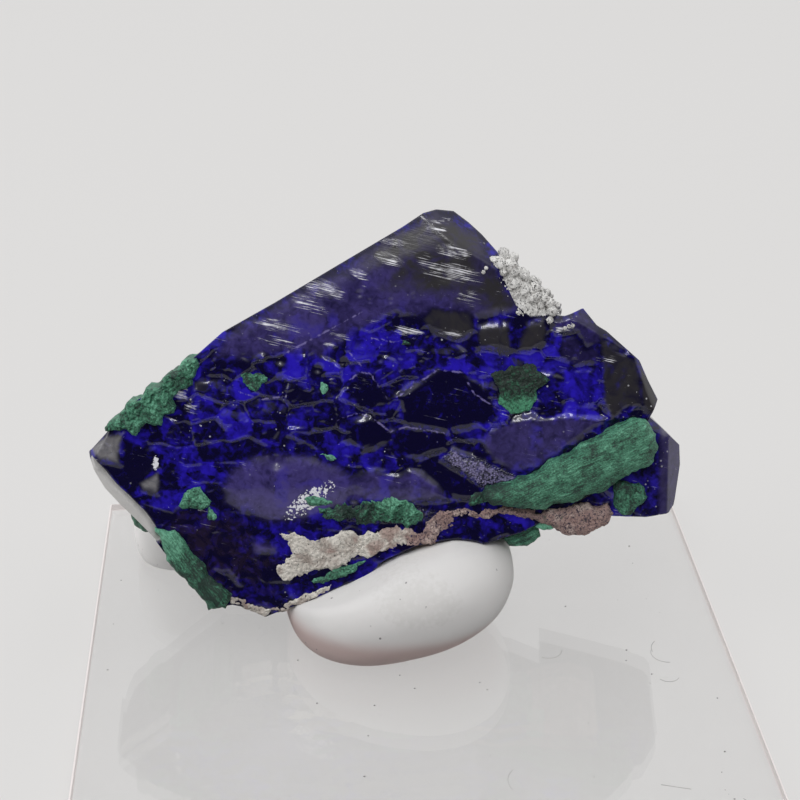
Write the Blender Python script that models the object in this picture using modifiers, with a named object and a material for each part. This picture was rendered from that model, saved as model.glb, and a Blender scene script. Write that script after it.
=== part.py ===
"""Azurite specimen on a clear plate.

A slab of grown-together azurite crystals, with malachite and pale matrix grown on it, leans back on two
lumps of white putty, which stick it to a clear plate.

The stone is modelled in its own face frame: x runs right along its face, z runs up the face, and y runs
into the stone, with y = 0 on the plane of the face. An empty then leans and turns all of it on the plate.
"""

import math
import random
from dataclasses import dataclass

import bmesh
import bpy
from mathutils import Matrix, Vector

MM = 0.001

# Gap that touching solids keep
GAP = 0.35

# Clear plate
PLATE_SIDE = 100.0
PLATE_THICK = 3.0
PLATE_EDGE = 0.3

# How the stone stands: where its face frame starts, how far it leans back and how far it is turned
FACE_ORIGIN = (-0.6, 15.9, 40.2)
LEAN_BACK = math.radians(20.0)
TURN = math.radians(-4.0)

# Stone
STONE_BACK = 17.0
BACK_THINNING = math.tan(math.radians(10.0))

# Convex outlines of the blocks that make up the slab, in face millimetres
MAIN_OUTLINE = [
    (-48.0, -8.2), (-45.0, -5.0), (-37.5, 1.6), (-27.0, 10.5), (-8.0, 21.5), (0.5, 26.5), (5.5, 29.0),
    (8.2, 28.7), (12.5, 25.2), (16.0, 21.8), (26.0, 8.0), (27.0, -16.0), (19.0, -20.5), (-8.0, -28.5),
    (-18.5, -33.0), (-21.0, -34.0), (-29.8, -33.2), (-37.0, -23.5), (-46.5, -11.5),
]
RIGHT_CRYSTAL_OUTLINE = [
    (14.0, 8.5), (22.5, 13.6), (25.0, 13.0), (28.0, 14.0), (31.5, 10.6), (36.6, 6.1), (39.6, 0.0),
    (38.0, -3.0), (34.0, -12.0), (14.0, -10.0),
]
RIGHT_BLOCK_OUTLINE = [
    (22.0, -6.0), (38.6, -2.9), (40.3, -4.4), (43.5, -7.5), (43.6, -10.5), (42.6, -16.5), (41.6, -17.6),
    (38.0, -18.2), (24.0, -17.5),
]

# Planes that the main block is cut along: a point of each and the way that it faces
MAIN_PLANES = [
    ((0.0, STONE_BACK, -30.0), (0.0, 1.0, BACK_THINNING)),
    ((0.0, STONE_BACK - 4.0, -34.0), (0.0, 0.75, -0.66)),
    ((-26.0, 10.5, 10.5), (-0.45, 0.75, 0.48)),
    ((-42.4, 0.0, -15.4), (-0.80, -0.20, -0.56)),
    ((-33.4, STONE_BACK - 5.0, -28.4), (-0.70, 0.40, -0.59)),
    ((-46.2, 0.0, -6.5), (-0.72, -0.55, 0.42)),
    ((0.0, 0.0, 26.0), (-0.10, -0.97, 0.20)),
]

# Hollow that the putty fills under the lower edge
ARCH_RADIUS = 17.0
ARCH_CENTRE = (7.5, -38.0)

# Notch of the pale grains beside the top
NOTCH_OUTLINE = [
    (12.5, 30.0), (16.2, 21.6), (14.6, 18.6), (17.6, 14.6), (21.4, 12.0), (25.2, 12.8), (34.0, 22.0),
]

# Smooth terraces of the upper face: outline, then how far each stands out of the face
TERRACES = [
    ([(-30.0, 5.5), (-26.8, 10.0), (-7.9, 21.0), (5.4, 28.5), (12.0, 25.0), (18.0, 14.0), (10.0, 12.0),
      (-1.0, 13.0), (-6.0, 11.0), (-12.0, 7.0), (-18.0, 7.2)], 0.9),
    ([(-25.6, 9.2), (-8.1, 20.7), (5.3, 28.2), (11.5, 24.7), (14.5, 19.5), (4.0, 17.5), (-6.0, 17.6),
      (-14.0, 11.5), (-20.0, 10.1)], 1.5),
    ([(-19.6, 13.4), (-8.2, 20.3), (5.2, 27.8), (11.0, 24.3), (9.0, 21.5), (-4.0, 20.2)], 2.0),
]

TERRACE_ROOT = 3.0

# Crowded small crystals of the middle band: columns, rows, spread and size of the lot
BAND_LEFT, BAND_RIGHT = -35.0, 19.0
BAND_LOW, BAND_HIGH = -7.0, 8.5
BAND_COLUMNS, BAND_ROWS = 10, 4
BAND_SEED = 11
BAND_SIZE = 3.1

# The same for the larger crystals of the back
BACK_LEFT, BACK_RIGHT = -33.0, 33.0
BACK_LOW, BACK_HIGH = -17.0, 12.0
BACK_COLUMNS, BACK_ROWS = 9, 5
BACK_SEED = 5
BACK_SIZE = 5.6

# Round pits in the face: x, z and radius
PITS = [(-6.1, 16.4, 0.9), (-1.4, 15.3, 0.7), (2.0, 16.1, 0.6), (-18.2, 6.2, 1.2), (-8.6, 5.9, 1.1),
        (-18.9, -9.5, 1.5), (-6.9, -14.6, 1.5)]

# Malachite
BLADE_OUTLINE = [
    (13.0, -14.2), (15.7, -13.1), (21.1, -11.0), (24.2, -8.6), (28.3, -6.4), (33.0, -3.4), (35.7, -2.6),
    (37.8, -3.2), (39.3, -5.2), (39.3, -7.3), (38.3, -9.6), (35.6, -11.0), (31.6, -13.5), (26.9, -15.4),
    (21.8, -16.6), (18.0, -16.0), (14.5, -15.3),
]
CRUST_OUTLINE = [
    (-45.4, -4.9), (-44.0, -2.9), (-41.4, -0.4), (-37.3, 2.2), (-34.2, 4.6), (-31.4, 6.9), (-30.3, 5.2),
    (-31.2, 2.8), (-34.8, 0.4), (-35.6, -2.4), (-38.0, -4.0), (-42.0, -5.0),
]
POCKET_OUTLINE = [
    (13.6, 4.4), (17.1, 5.7), (20.3, 5.7), (22.8, 3.5), (20.9, 0.0), (19.4, -1.7), (16.9, -1.8), (15.4, 0.0),
    (14.6, 2.6),
]
SPRAY_OUTLINE = [
    (-37.4, -20.6), (-34.4, -20.8), (-32.2, -24.3), (-26.2, -30.2), (-27.0, -32.6), (-29.8, -33.0),
    (-36.0, -25.4),
]
TONGUE_OUTLINE = [(16.0, -21.4), (19.2, -19.9), (21.4, -19.6), (21.8, -21.6), (19.8, -23.2), (17.2, -23.3)]
TUFT_OUTLINE = [
    (-12.0, -16.6), (-6.0, -15.7), (0.0, -15.7), (2.9, -17.4), (0.0, -18.8), (-6.0, -18.9), (-11.8, -18.4),
]
KNOB_CENTRE = (-40.0, 9.0, -19.2)
KNOB_HALF = (2.9, 4.4, 3.2)

# Matrix
PATCH_OUTLINE = [
    (-19.2, -20.8), (-12.2, -21.0), (-7.1, -20.6), (-0.4, -19.8), (-0.6, -22.6), (-8.8, -26.0),
    (-12.3, -27.2), (-17.6, -27.9), (-19.0, -26.0), (-17.4, -23.4),
]
LEDGE_OUTLINE = [
    (17.2, -17.0), (21.5, -17.6), (26.9, -16.2), (32.4, -16.2), (33.2, -17.8), (31.1, -19.6), (28.5, -21.0),
    (25.0, -20.9), (22.4, -19.2), (19.0, -18.4),
]
GRAIN_SEED = 3
GRAIN_COUNT = 34
GRAIN_BED_DEPTH = 9.0
GRAIN_RUN_START, GRAIN_RUN_END = (15.8, 20.8), (23.4, 13.0)
GRAIN_RADII = (0.9, 1.5)
GRAIN_BED_OUTLINE = [
    (15.0, 21.6), (16.4, 21.2), (19.4, 17.4), (21.2, 14.8), (23.6, 13.0), (21.6, 12.6), (18.0, 15.0),
    (15.4, 18.6),
]

# How far a pocket's cutter runs out in front of what fills it
POCKET_MOUTH = 6.0

# Bodies of other minerals: outline, depth of the front, depth of the back and width of the chamfer
GROWTHS = {
    "malachite_blade": (BLADE_OUTLINE, -4.0, 0.6, 0.7),
    "malachite_crust": (CRUST_OUTLINE, -1.4, 6.0, 0.5),
    "malachite_pocket": (POCKET_OUTLINE, -0.4, 2.2, 0.3),
    "malachite_spray": (SPRAY_OUTLINE, -1.6, 7.0, 0.5),
    "malachite_tongue": (TONGUE_OUTLINE, 1.0, 7.0, 0.4),
    "malachite_tuft": (TUFT_OUTLINE, -2.6, 1.0, 0.4),
    "matrix_patch": (PATCH_OUTLINE, -1.6, 2.0, 0.3),
    "matrix_ledge": (LEDGE_OUTLINE, -1.4, 10.0, 0.4),
}

# Putty: centre, half sizes and turn of each lump, in plate millimetres
FRONT_LUMP_CENTRE = (0.6, 13.5, 10.9)
FRONT_LUMP_HALF = (18.6, 14.6, 9.6)
FRONT_LUMP_TILT = math.radians(-9.0)
REAR_LUMP_CENTRE = (-31.5, 36.0, 9.0)
REAR_LUMP_HALF = (13.0, 9.5, 10.5)
LUMP_SEGMENTS, LUMP_RINGS = 28, 16
# Room that the putty leaves for the crystals of the stone's face and back
SEAT_AHEAD = 2.8
SEAT_BEHIND = 2.0

# Colours as linear red, green and blue, then roughness
AZURITE_FINISH = ((0.012, 0.006, 0.200), 0.15)
MALACHITE_FINISH = ((0.030, 0.200, 0.085), 0.60)
MATRIX_FINISH = ((0.480, 0.430, 0.360), 0.85)
GRAINS_FINISH = ((0.620, 0.600, 0.570), 0.85)
PUTTY_FINISH = ((0.780, 0.760, 0.740), 0.60)
PLATE_FINISH = ((0.900, 0.900, 0.890), 0.05)


@dataclass
class Crystal:
    """One blocky crystal: where its middle is, its half sizes, its turn in the face and how its top tilts."""

    x: float
    z: float
    half_x: float
    half_z: float
    turn: float
    height: float
    tilt_x: float = 0.0
    tilt_z: float = 0.0
    corner: float = 0.3
    root: float = 5.0


# Large crystals of the face: the dome at the lower left, the dark facet at the middle and those around them
FACE_CRYSTALS = [
    Crystal(-16.5, -13.4, 10.6, 5.2, 6.0, 2.3, 3.0, -9.0, 0.35),
    Crystal(-33.0, -13.5, 8.2, 6.6, -38.0, 1.6, -9.0, -4.0, 0.30),
    Crystal(-43.4, -7.4, 3.0, 2.2, 12.0, 1.6, -14.0, 6.0, 0.25, 3.0),
    Crystal(7.6, 0.2, 7.6, 4.4, -4.0, 1.5, 5.0, 8.0, 0.35),
    Crystal(3.6, -11.6, 6.6, 4.0, -8.0, 1.7, -3.0, -6.0, 0.35),
    Crystal(-26.0, -25.0, 5.8, 5.6, 28.0, 1.8, 8.0, -6.0, 0.30),
    Crystal(-11.4, -27.6, 5.6, 1.9, 22.0, 1.3, 0.0, -8.0, 0.30, 3.5),
    Crystal(7.6, 10.4, 4.4, 2.4, -5.0, 1.6, 4.0, 6.0, 0.25),
    Crystal(17.2, 10.0, 4.6, 2.6, 4.0, 1.8, -3.0, 9.0, 0.25),
    Crystal(26.8, 8.4, 3.5, 3.3, -40.0, 2.3, 10.0, 9.0, 0.25),
    Crystal(34.2, 0.8, 3.0, 5.0, 32.0, 2.6, 18.0, 4.0, 0.25),
    Crystal(25.6, -3.6, 6.6, 3.4, 12.0, 1.9, -4.0, -3.0, 0.30),
    Crystal(40.2, -11.4, 2.8, 6.2, 4.0, 2.4, 16.0, -3.0, 0.20),
    Crystal(8.6, -19.0, 8.6, 1.5, -3.0, 1.6, 0.0, -14.0, 0.20, 3.5),
]


def clear_scene():
    for obj in list(bpy.data.objects):
        bpy.data.objects.remove(obj, do_unlink=True)


def collection(name):
    made = bpy.data.collections.new(name)
    bpy.context.scene.collection.children.link(made)
    return made


def material(name, finish):
    colour, roughness = finish
    made = bpy.data.materials.new(name)
    made.use_nodes = True
    shader = made.node_tree.nodes["Principled BSDF"]
    shader.inputs["Base Color"].default_value = (*colour, 1.0)
    shader.inputs["Roughness"].default_value = roughness
    shader.inputs["Metallic"].default_value = 0.0
    return made


def mesh_object(name, mesh, into):
    obj = bpy.data.objects.new(name, mesh)
    into.objects.link(obj)
    return obj


def from_bmesh(name, shape, into):
    mesh = bpy.data.meshes.new(name)
    shape.to_mesh(mesh)
    shape.free()
    return mesh_object(name, mesh, into)


def evaluated_mesh(obj):
    graph = bpy.context.evaluated_depsgraph_get()
    return bpy.data.meshes.new_from_object(obj.evaluated_get(graph))


def outline_solid(name, outline, front, back, into, rim=0.0, clearance=0.0):
    """Extrudes a flat outline of the face from depth front to depth back, its rims chamfered by rim, and
    grown by clearance all round."""
    data = bpy.data.curves.new(name, "CURVE")
    data.dimensions = "2D"
    data.fill_mode = "BOTH"
    data.extrude = ((back - front) / 2 - rim + clearance) * MM
    data.bevel_depth = rim * MM
    data.bevel_resolution = 0
    data.offset = (clearance - rim) * MM
    spline = data.splines.new("POLY")
    spline.points.add(len(outline) - 1)
    for point, (x, z) in zip(spline.points, outline):
        point.co = (x * MM, z * MM, 0.0, 1.0)
    spline.use_cyclic_u = True
    curve = bpy.data.objects.new(name, data)
    into.objects.link(curve)
    mesh = evaluated_mesh(curve)
    bpy.data.objects.remove(curve, do_unlink=True)
    stand_up = Matrix.Rotation(math.radians(90.0), 4, "X")
    mesh.transform(Matrix.Translation((0.0, (front + back) / 2 * MM, 0.0)) @ stand_up)
    shape = bmesh.new()
    shape.from_mesh(mesh)
    bmesh.ops.remove_doubles(shape, verts=shape.verts, dist=0.00001)
    bmesh.ops.recalc_face_normals(shape, faces=shape.faces)
    bpy.data.meshes.remove(mesh)
    return from_bmesh(name, shape, into)


def cleave(shape, point, normal):
    """Cuts a closed shape along a plane and leaves out what lies on the side that the normal points to."""
    geometry = shape.verts[:] + shape.edges[:] + shape.faces[:]
    cut = bmesh.ops.bisect_plane(
        shape, geom=geometry, plane_co=Vector(point) * MM, plane_no=Vector(normal), clear_outer=True
    )
    edges = [piece for piece in cut["geom_cut"] if isinstance(piece, bmesh.types.BMEdge)]
    if edges:
        bmesh.ops.holes_fill(shape, edges=edges)


def cleave_object(obj, planes):
    shape = bmesh.new()
    shape.from_mesh(obj.data)
    for point, normal in planes:
        cleave(shape, point, normal)
    bmesh.ops.recalc_face_normals(shape, faces=shape.faces)
    shape.to_mesh(obj.data)
    shape.free()


def crystal_solid(name, crystal, surface, outward, into):
    """A cube cut to a crystal: its top tilted, its four corners cut off and its sides leaning in."""
    shape = bmesh.new()
    bmesh.ops.create_cube(shape, size=1.0)
    tall = crystal.height + crystal.root + 3.0
    scale = Matrix.Diagonal((2 * crystal.half_x * MM, tall * MM, 2 * crystal.half_z * MM, 1.0))
    bmesh.ops.transform(shape, matrix=scale, verts=shape.verts)
    bmesh.ops.translate(shape, vec=(0.0, (crystal.root - tall / 2) * MM, 0.0), verts=shape.verts)
    slope_x, slope_z = (math.tan(math.radians(tilt)) for tilt in (crystal.tilt_x, crystal.tilt_z))
    top_normal = (slope_x, -1.0, slope_z)
    cleave(shape, (0.0, -crystal.height, 0.0), top_normal)
    for side_x in (-1, 1):
        side_point = (side_x * crystal.half_x, 0.0, 0.0)
        cleave(shape, side_point, (side_x, -0.55, 0.10 * side_x))
    for side_z in (-1, 1):
        side_point = (0.0, 0.0, side_z * crystal.half_z)
        cleave(shape, side_point, (0.12 * side_z, -0.60, side_z))
    for side_x in (-1, 1):
        for side_z in (-1, 1):
            keep = 1.0 - crystal.corner
            corner_point = (side_x * crystal.half_x * keep, 0.0, side_z * crystal.half_z)
            corner_normal = (side_x * crystal.half_z, -0.3 * crystal.half_z, side_z * crystal.half_x)
            cleave(shape, corner_point, corner_normal)
    turn = Matrix.Rotation(-math.radians(crystal.turn), 4, "Y")
    flip = Matrix.Identity(4) if outward < 0 else Matrix.Rotation(math.pi, 4, "Z")
    place = Matrix.Translation((crystal.x * MM, surface * MM, crystal.z * MM))
    bmesh.ops.transform(shape, matrix=place @ flip @ turn, verts=shape.verts)
    bmesh.ops.recalc_face_normals(shape, faces=shape.faces)
    return from_bmesh(name, shape, into)


def sphere_solid(name, centre, half, into, segments=12, rings=8):
    shape = bmesh.new()
    bmesh.ops.create_uvsphere(shape, u_segments=segments, v_segments=rings, radius=1.0)
    scale = Matrix.Diagonal((half[0] * MM, half[1] * MM, half[2] * MM, 1.0))
    bmesh.ops.transform(shape, matrix=Matrix.Translation(Vector(centre) * MM) @ scale, verts=shape.verts)
    return from_bmesh(name, shape, into)


def combine(base, tools, operation):
    """Joins the tools to base, or cuts them out of it, one by one, and removes them."""
    for tool in tools:
        step = base.modifiers.new(tool.name, "BOOLEAN")
        step.operation = operation
        step.solver = "EXACT"
        step.object = tool
        mesh = evaluated_mesh(base)
        base.modifiers.clear()
        old = base.data
        base.data = mesh
        bpy.data.meshes.remove(old)
        bpy.data.objects.remove(tool, do_unlink=True)


def drop_crumbs(obj):
    """Keeps the largest body of a solid, where cuts have left loose chips beside it."""
    shape = bmesh.new()
    shape.from_mesh(obj.data)
    unseen = set(shape.verts)
    bodies = []
    while unseen:
        body, edge = set(), {unseen.pop()}
        while edge:
            body |= edge
            edge = {link.other_vert(vert) for vert in edge for link in vert.link_edges} - body
        unseen -= body
        bodies.append(body)
    bodies.sort(key=len)
    for body in bodies[:-1]:
        bmesh.ops.delete(shape, geom=list(body), context="VERTS")
    shape.to_mesh(obj.data)
    shape.free()


def room_inside(outline, x, z):
    """How far a point is inside a convex outline whose points run clockwise."""
    room = math.inf
    for (x_a, z_a), (x_b, z_b) in zip(outline, outline[1:] + outline[:1]):
        run_x, run_z = x_b - x_a, z_b - z_a
        room = min(room, (run_z * (x - x_a) - run_x * (z - z_a)) / math.hypot(run_x, run_z))
    return room


def crowd(left, right, low, high, columns, rows, seed, size):
    """Crystals on a shaken grid, each with its own size, turn, height and tilt, where a block backs them."""
    chance = random.Random(seed)
    step_x, step_z = (right - left) / columns, (high - low) / rows
    found = []
    for row in range(rows):
        for column in range(columns):
            shift = 0.5 * (row % 2)
            x = left + (column + 0.5 + shift * 0.6 + chance.uniform(-0.22, 0.22)) * step_x
            z = low + (row + 0.5 + chance.uniform(-0.2, 0.2)) * step_z
            crystal = Crystal(
                x, z,
                size * chance.uniform(0.70, 1.05), size * chance.uniform(0.55, 0.85),
                chance.uniform(-40.0, 40.0), chance.uniform(0.5, 1.3),
                chance.uniform(-14.0, 14.0), chance.uniform(-8.0, 14.0),
                chance.uniform(0.25, 0.5), 2.5,
            )
            reach = math.hypot(crystal.half_x, crystal.half_z) * (1.0 - 0.5 * crystal.corner)
            room = max(room_inside(outline, x, z) for outline in (MAIN_OUTLINE, RIGHT_BLOCK_OUTLINE))
            if room > reach:
                found.append(crystal)
    return found


def main_block(name, into, grow=0.0, ahead=0.0, behind=0.0):
    """The largest block of the slab, thinned to the top and chamfered. It can be grown all round by grow,
    and further to the front and the back."""
    block = outline_solid(name, MAIN_OUTLINE, -ahead, STONE_BACK + behind, into, 0.0, grow)
    planes = []
    for point, normal in MAIN_PLANES:
        outward = Vector(normal).normalized()
        out = grow + (behind if outward.y > 0.5 else 0.0)
        planes.append((Vector(point) + out * outward, outward))
    cleave_object(block, planes)
    return block


def build_arch(name, into, grow=0.0):
    """The ball that hollows the lower edge where the putty is, smaller by grow."""
    centre = (ARCH_CENTRE[0], STONE_BACK / 2, ARCH_CENTRE[1])
    half = (ARCH_RADIUS - grow, 30.0, ARCH_RADIUS - grow)
    return sphere_solid(name, centre, half, into, 32, 24)


def build_azurite(into, helpers):
    """The slab: three blocks joined, with terraces, crystals and pits on the face and crystals behind."""
    stone = main_block("azurite_mass", into)
    right = outline_solid("right_crystal", RIGHT_CRYSTAL_OUTLINE, -0.6, STONE_BACK - 3.0, helpers)
    cleave_object(
        right,
        [
            ((30.0, STONE_BACK - 4.0, 0.0), (0.25, 1.0, 0.20)),
            ((36.8, 0.0, 5.4), (0.75, -0.60, 0.30)),
            ((30.0, 0.0, 11.4), (0.42, -0.62, 0.66)),
        ],
    )
    block = outline_solid("right_block", RIGHT_BLOCK_OUTLINE, -0.3, STONE_BACK - 2.0, helpers)
    cleave_object(
        block,
        [
            ((38.0, STONE_BACK - 3.0, -10.0), (0.35, 1.0, 0.10)),
            ((41.4, 0.0, -12.0), (0.80, -0.60, 0.0)),
            ((40.6, 0.0, -5.2), (0.35, -0.55, 0.76)),
        ],
    )
    combine(stone, [right, block], "UNION")
    plates = []
    for index, (outline, height) in enumerate(TERRACES):
        plate = outline_solid(f"terrace_{index}", outline, -height, TERRACE_ROOT + index, helpers)
        cleave_object(plate, [((5.0, -0.4 - 0.2 * index, 28.0), (0.0, -0.96, 0.28 - 0.03 * index))])
        plates.append(plate)
    combine(stone, plates, "UNION")
    cluster = [
        crystal_solid(f"face_{index}", crystal, 0.0, -1, helpers)
        for index, crystal in enumerate(FACE_CRYSTALS)
    ]
    band = crowd(BAND_LEFT, BAND_RIGHT, BAND_LOW, BAND_HIGH, BAND_COLUMNS, BAND_ROWS, BAND_SEED, BAND_SIZE)
    for index, crystal in enumerate(band):
        cluster.append(crystal_solid(f"band_{index}", crystal, 0.0, -1, helpers))
    backs = crowd(BACK_LEFT, BACK_RIGHT, BACK_LOW, BACK_HIGH, BACK_COLUMNS, BACK_ROWS, BACK_SEED, BACK_SIZE)
    for index, crystal in enumerate(backs):
        surface = STONE_BACK - BACK_THINNING * (crystal.z + 30.0) - 1.2
        cluster.append(crystal_solid(f"back_{index}", crystal, surface, 1, helpers))
    combine(stone, cluster, "UNION")
    hollows = [
        sphere_solid(f"pit_{index}", (x, -0.6, z), (radius, 1.6, radius), helpers)
        for index, (x, z, radius) in enumerate(PITS)
    ]
    arch = build_arch("arch", helpers)
    notch = outline_solid("notch", NOTCH_OUTLINE, -6.0, STONE_BACK + 6.0, helpers)
    combine(stone, hollows + [arch, notch], "DIFFERENCE")
    return stone


def build_growth(name, outline, front, back, rim, stone, into, helpers):
    """A body of another mineral, sunk in a pocket of the stone that is cut to clear it."""
    pocket = outline_solid(name + "_pocket", outline, front - POCKET_MOUTH, back, helpers, 0.0, GAP)
    combine(stone, [pocket], "DIFFERENCE")
    return outline_solid(name, outline, front, back, into, rim)


def build_knob(stone, into, helpers):
    """A green ball, half sunk in a pocket behind the lower left edge."""
    grown = tuple(side + GAP for side in KNOB_HALF)
    combine(stone, [sphere_solid("knob_pocket", KNOB_CENTRE, grown, helpers, 16, 10)], "DIFFERENCE")
    return sphere_solid("malachite_knob", KNOB_CENTRE, KNOB_HALF, into, 16, 10)


def build_grains(into, helpers):
    """A bed with round grains set along it, all joined."""
    bed = outline_solid("matrix_grains", GRAIN_BED_OUTLINE, 0.0, GRAIN_BED_DEPTH, into)
    chance = random.Random(GRAIN_SEED)
    grains = []
    for index in range(GRAIN_COUNT):
        along = chance.random()
        ends = zip(GRAIN_RUN_START, GRAIN_RUN_END)
        x, z = (start + along * (end - start) + chance.uniform(-0.6, 1.0) for start, end in ends)
        y = chance.uniform(0.2, GRAIN_BED_DEPTH - 1.0)
        size = chance.uniform(*GRAIN_RADII)
        grains.append(sphere_solid(f"grain_{index}", (x, y, z), (size, size, size), helpers, 8, 6))
    combine(bed, grains, "UNION")
    room = outline_solid("grain_room", NOTCH_OUTLINE, -5.0, STONE_BACK, helpers, 0.0, -GAP)
    combine(bed, [room], "INTERSECT")
    drop_crumbs(bed)
    return bed


def build_plate(into):
    shape = bmesh.new()
    bmesh.ops.create_cube(shape, size=1.0)
    scale = Matrix.Diagonal((PLATE_SIDE * MM, PLATE_SIDE * MM, PLATE_THICK * MM, 1.0))
    bmesh.ops.transform(shape, matrix=scale, verts=shape.verts)
    plate = from_bmesh("clear_plate", shape, into)
    plate.location = (0.0, 0.0, PLATE_THICK / 2 * MM)
    edge = plate.modifiers.new("edge", "BEVEL")
    edge.width = PLATE_EDGE * MM
    edge.segments = 1
    return plate


def build_seats(stance, helpers):
    """Grown copies of the stone's coarse forms, which press the putty in and leave the gap all round."""
    seat = main_block("seat", helpers, GAP, SEAT_AHEAD, SEAT_BEHIND)
    combine(seat, [build_arch("seat_arch", helpers, GAP)], "DIFFERENCE")
    seats = [seat]
    for name in ("malachite_tongue", "matrix_patch", "matrix_ledge"):
        outline, front, back, _ = GROWTHS[name]
        seats.append(outline_solid(name + "_seat", outline, front, back, helpers, 0.0, GAP))
    for piece in seats:
        piece.parent = stance
    return seats


def build_lump(name, centre, half, tilt, seats, into):
    """A ball of putty, flat where it sits on the plate and pressed in where the stone sits on it."""
    lump = sphere_solid(name, (0.0, 0.0, 0.0), half, into, LUMP_SEGMENTS, LUMP_RINGS)
    lump.data.transform(Matrix.Translation(Vector(centre) * MM) @ Matrix.Rotation(tilt, 4, "Y"))
    cleave_object(lump, [((0.0, 0.0, PLATE_THICK + GAP), (0.0, 0.0, -1.0))])
    for seat in seats:
        step = lump.modifiers.new(seat.name, "BOOLEAN")
        step.operation = "DIFFERENCE"
        step.solver = "EXACT"
        step.object = seat
    return lump


def main():
    clear_scene()
    pieces = collection("azurite specimen")
    helpers = collection("cutters")

    stone = build_azurite(pieces, helpers)
    knob = build_knob(stone, pieces, helpers)
    made = {"azurite_mass": stone, "malachite_knob": knob}
    for name, (outline, front, back, rim) in GROWTHS.items():
        made[name] = build_growth(name, outline, front, back, rim, stone, pieces, helpers)
    made["matrix_grains"] = build_grains(pieces, helpers)
    drop_crumbs(stone)

    stance = bpy.data.objects.new("stance", None)
    pieces.objects.link(stance)
    stance.location = Vector(FACE_ORIGIN) * MM
    stance.rotation_euler = (-LEAN_BACK, 0.0, TURN)
    for obj in made.values():
        obj.parent = stance

    seats = build_seats(stance, helpers)
    made["putty_front"] = build_lump(
        "putty_front", FRONT_LUMP_CENTRE, FRONT_LUMP_HALF, FRONT_LUMP_TILT, seats, pieces
    )
    made["putty_rear"] = build_lump("putty_rear", REAR_LUMP_CENTRE, REAR_LUMP_HALF, 0.0, seats[:1], pieces)
    made["clear_plate"] = build_plate(pieces)

    finishes = {"azurite": AZURITE_FINISH, "malachite": MALACHITE_FINISH, "matrix": MATRIX_FINISH,
                "grains": GRAINS_FINISH, "putty": PUTTY_FINISH, "clear": PLATE_FINISH}
    materials = {name: material(name, finish) for name, finish in finishes.items()}
    for name, obj in made.items():
        kind = "grains" if name == "matrix_grains" else name.split("_")[0]
        obj.data.materials.clear()
        obj.data.materials.append(materials[kind])
    for helper in helpers.objects:
        helper.hide_render = True
        helper.display_type = "WIRE"


main()
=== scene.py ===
"""Looks of the azurite specimen on its clear plate.

The stone's shapes are worked out in the face frame of the slab, in millimetres: x runs right along the
face, z runs up the face, and y runs into the stone, with y = 0 on the plane of the face. A point that
stands out of the face by some relief has y = -relief. The Stance class turns all of it into the row frame.
"""

import logging
import math
import random
from collections.abc import Callable
from dataclasses import dataclass, field
from enum import Enum

import bpy
import numpy as np
from mathutils import Vector
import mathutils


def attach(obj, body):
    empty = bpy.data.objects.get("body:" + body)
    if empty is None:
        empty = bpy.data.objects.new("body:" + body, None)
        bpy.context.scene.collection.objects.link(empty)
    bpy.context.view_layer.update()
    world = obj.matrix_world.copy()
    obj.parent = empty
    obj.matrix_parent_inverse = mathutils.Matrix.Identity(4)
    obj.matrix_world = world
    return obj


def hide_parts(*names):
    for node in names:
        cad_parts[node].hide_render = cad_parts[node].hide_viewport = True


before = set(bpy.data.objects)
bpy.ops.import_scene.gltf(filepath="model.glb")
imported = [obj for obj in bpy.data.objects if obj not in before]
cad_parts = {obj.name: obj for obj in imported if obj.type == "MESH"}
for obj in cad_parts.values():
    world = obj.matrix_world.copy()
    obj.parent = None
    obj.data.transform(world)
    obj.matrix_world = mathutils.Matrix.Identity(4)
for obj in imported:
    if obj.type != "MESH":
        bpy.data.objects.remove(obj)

Array = np.ndarray
Point = tuple[float, float]
Colour = tuple[float, float, float]

MM = 0.001
PLATE_TOP = 3.0
STONE_BACK = 17.0
BACK_THINNING = math.tan(math.radians(10.0))
FACET_LEVEL = 0.78
FACET_SHARE = 0.55

log = logging.getLogger("azurite specimen")


# Numbers spread over a surface


def lattice(i: Array, j: Array, seed: int) -> Array:
    """A number from 0 to 1 for each whole-number cell: its place times large odd numbers, bits folded.

    Args:
        i, j: the cell's column and row.
        seed: which set of numbers to give.

    Returns:
        An array of the same shape.
    """
    mixed = (i.astype(np.int64) * 374761393 + j.astype(np.int64) * 668265263 + seed * 974634777) & 0xFFFFFFFF
    mixed = ((mixed ^ (mixed >> 13)) * 1274126177) & 0xFFFFFFFF
    mixed = ((mixed ^ (mixed >> 16)) * 668265263) & 0xFFFFFFFF
    return ((mixed ^ (mixed >> 15)) & 0xFFFF) / 65535.0


def waves(x: Array, z: Array, seed: int) -> Array:
    """Smooth random waves from -1 to 1: the four lattice numbers round a point, eased into each other.

    Args:
        x, z: places, in cells.
        seed: which waves to give.

    Returns:
        The height of the waves at each place.
    """
    i, j = np.floor(x), np.floor(z)
    u, v = x - i, z - j
    u, v = u * u * (3 - 2 * u), v * v * (3 - 2 * v)
    low = lattice(i, j, seed) * (1 - u) + lattice(i + 1, j, seed) * u
    high = lattice(i, j + 1, seed) * (1 - u) + lattice(i + 1, j + 1, seed) * u
    return 2 * (low * (1 - v) + high * v) - 1


def rough(x: Array, z: Array, seed: int, size: float, octaves: int = 4) -> Array:
    """Waves of a size plus waves of half the size and half the height, and so on.

    Args:
        x, z: places, in millimetres.
        seed: which waves to give.
        size: millimetres from wave to wave.
        octaves: how many sizes are added up.

    Returns:
        Heights from about -1 to 1.
    """
    total = np.zeros(np.broadcast(x, z).shape)
    for octave in range(octaves):
        scale = 2.0**octave / size
        total += waves(x * scale + 19.7 * octave, z * scale + 7.3 * octave, seed + octave) / 2.0**octave
    return total / 1.6


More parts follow.
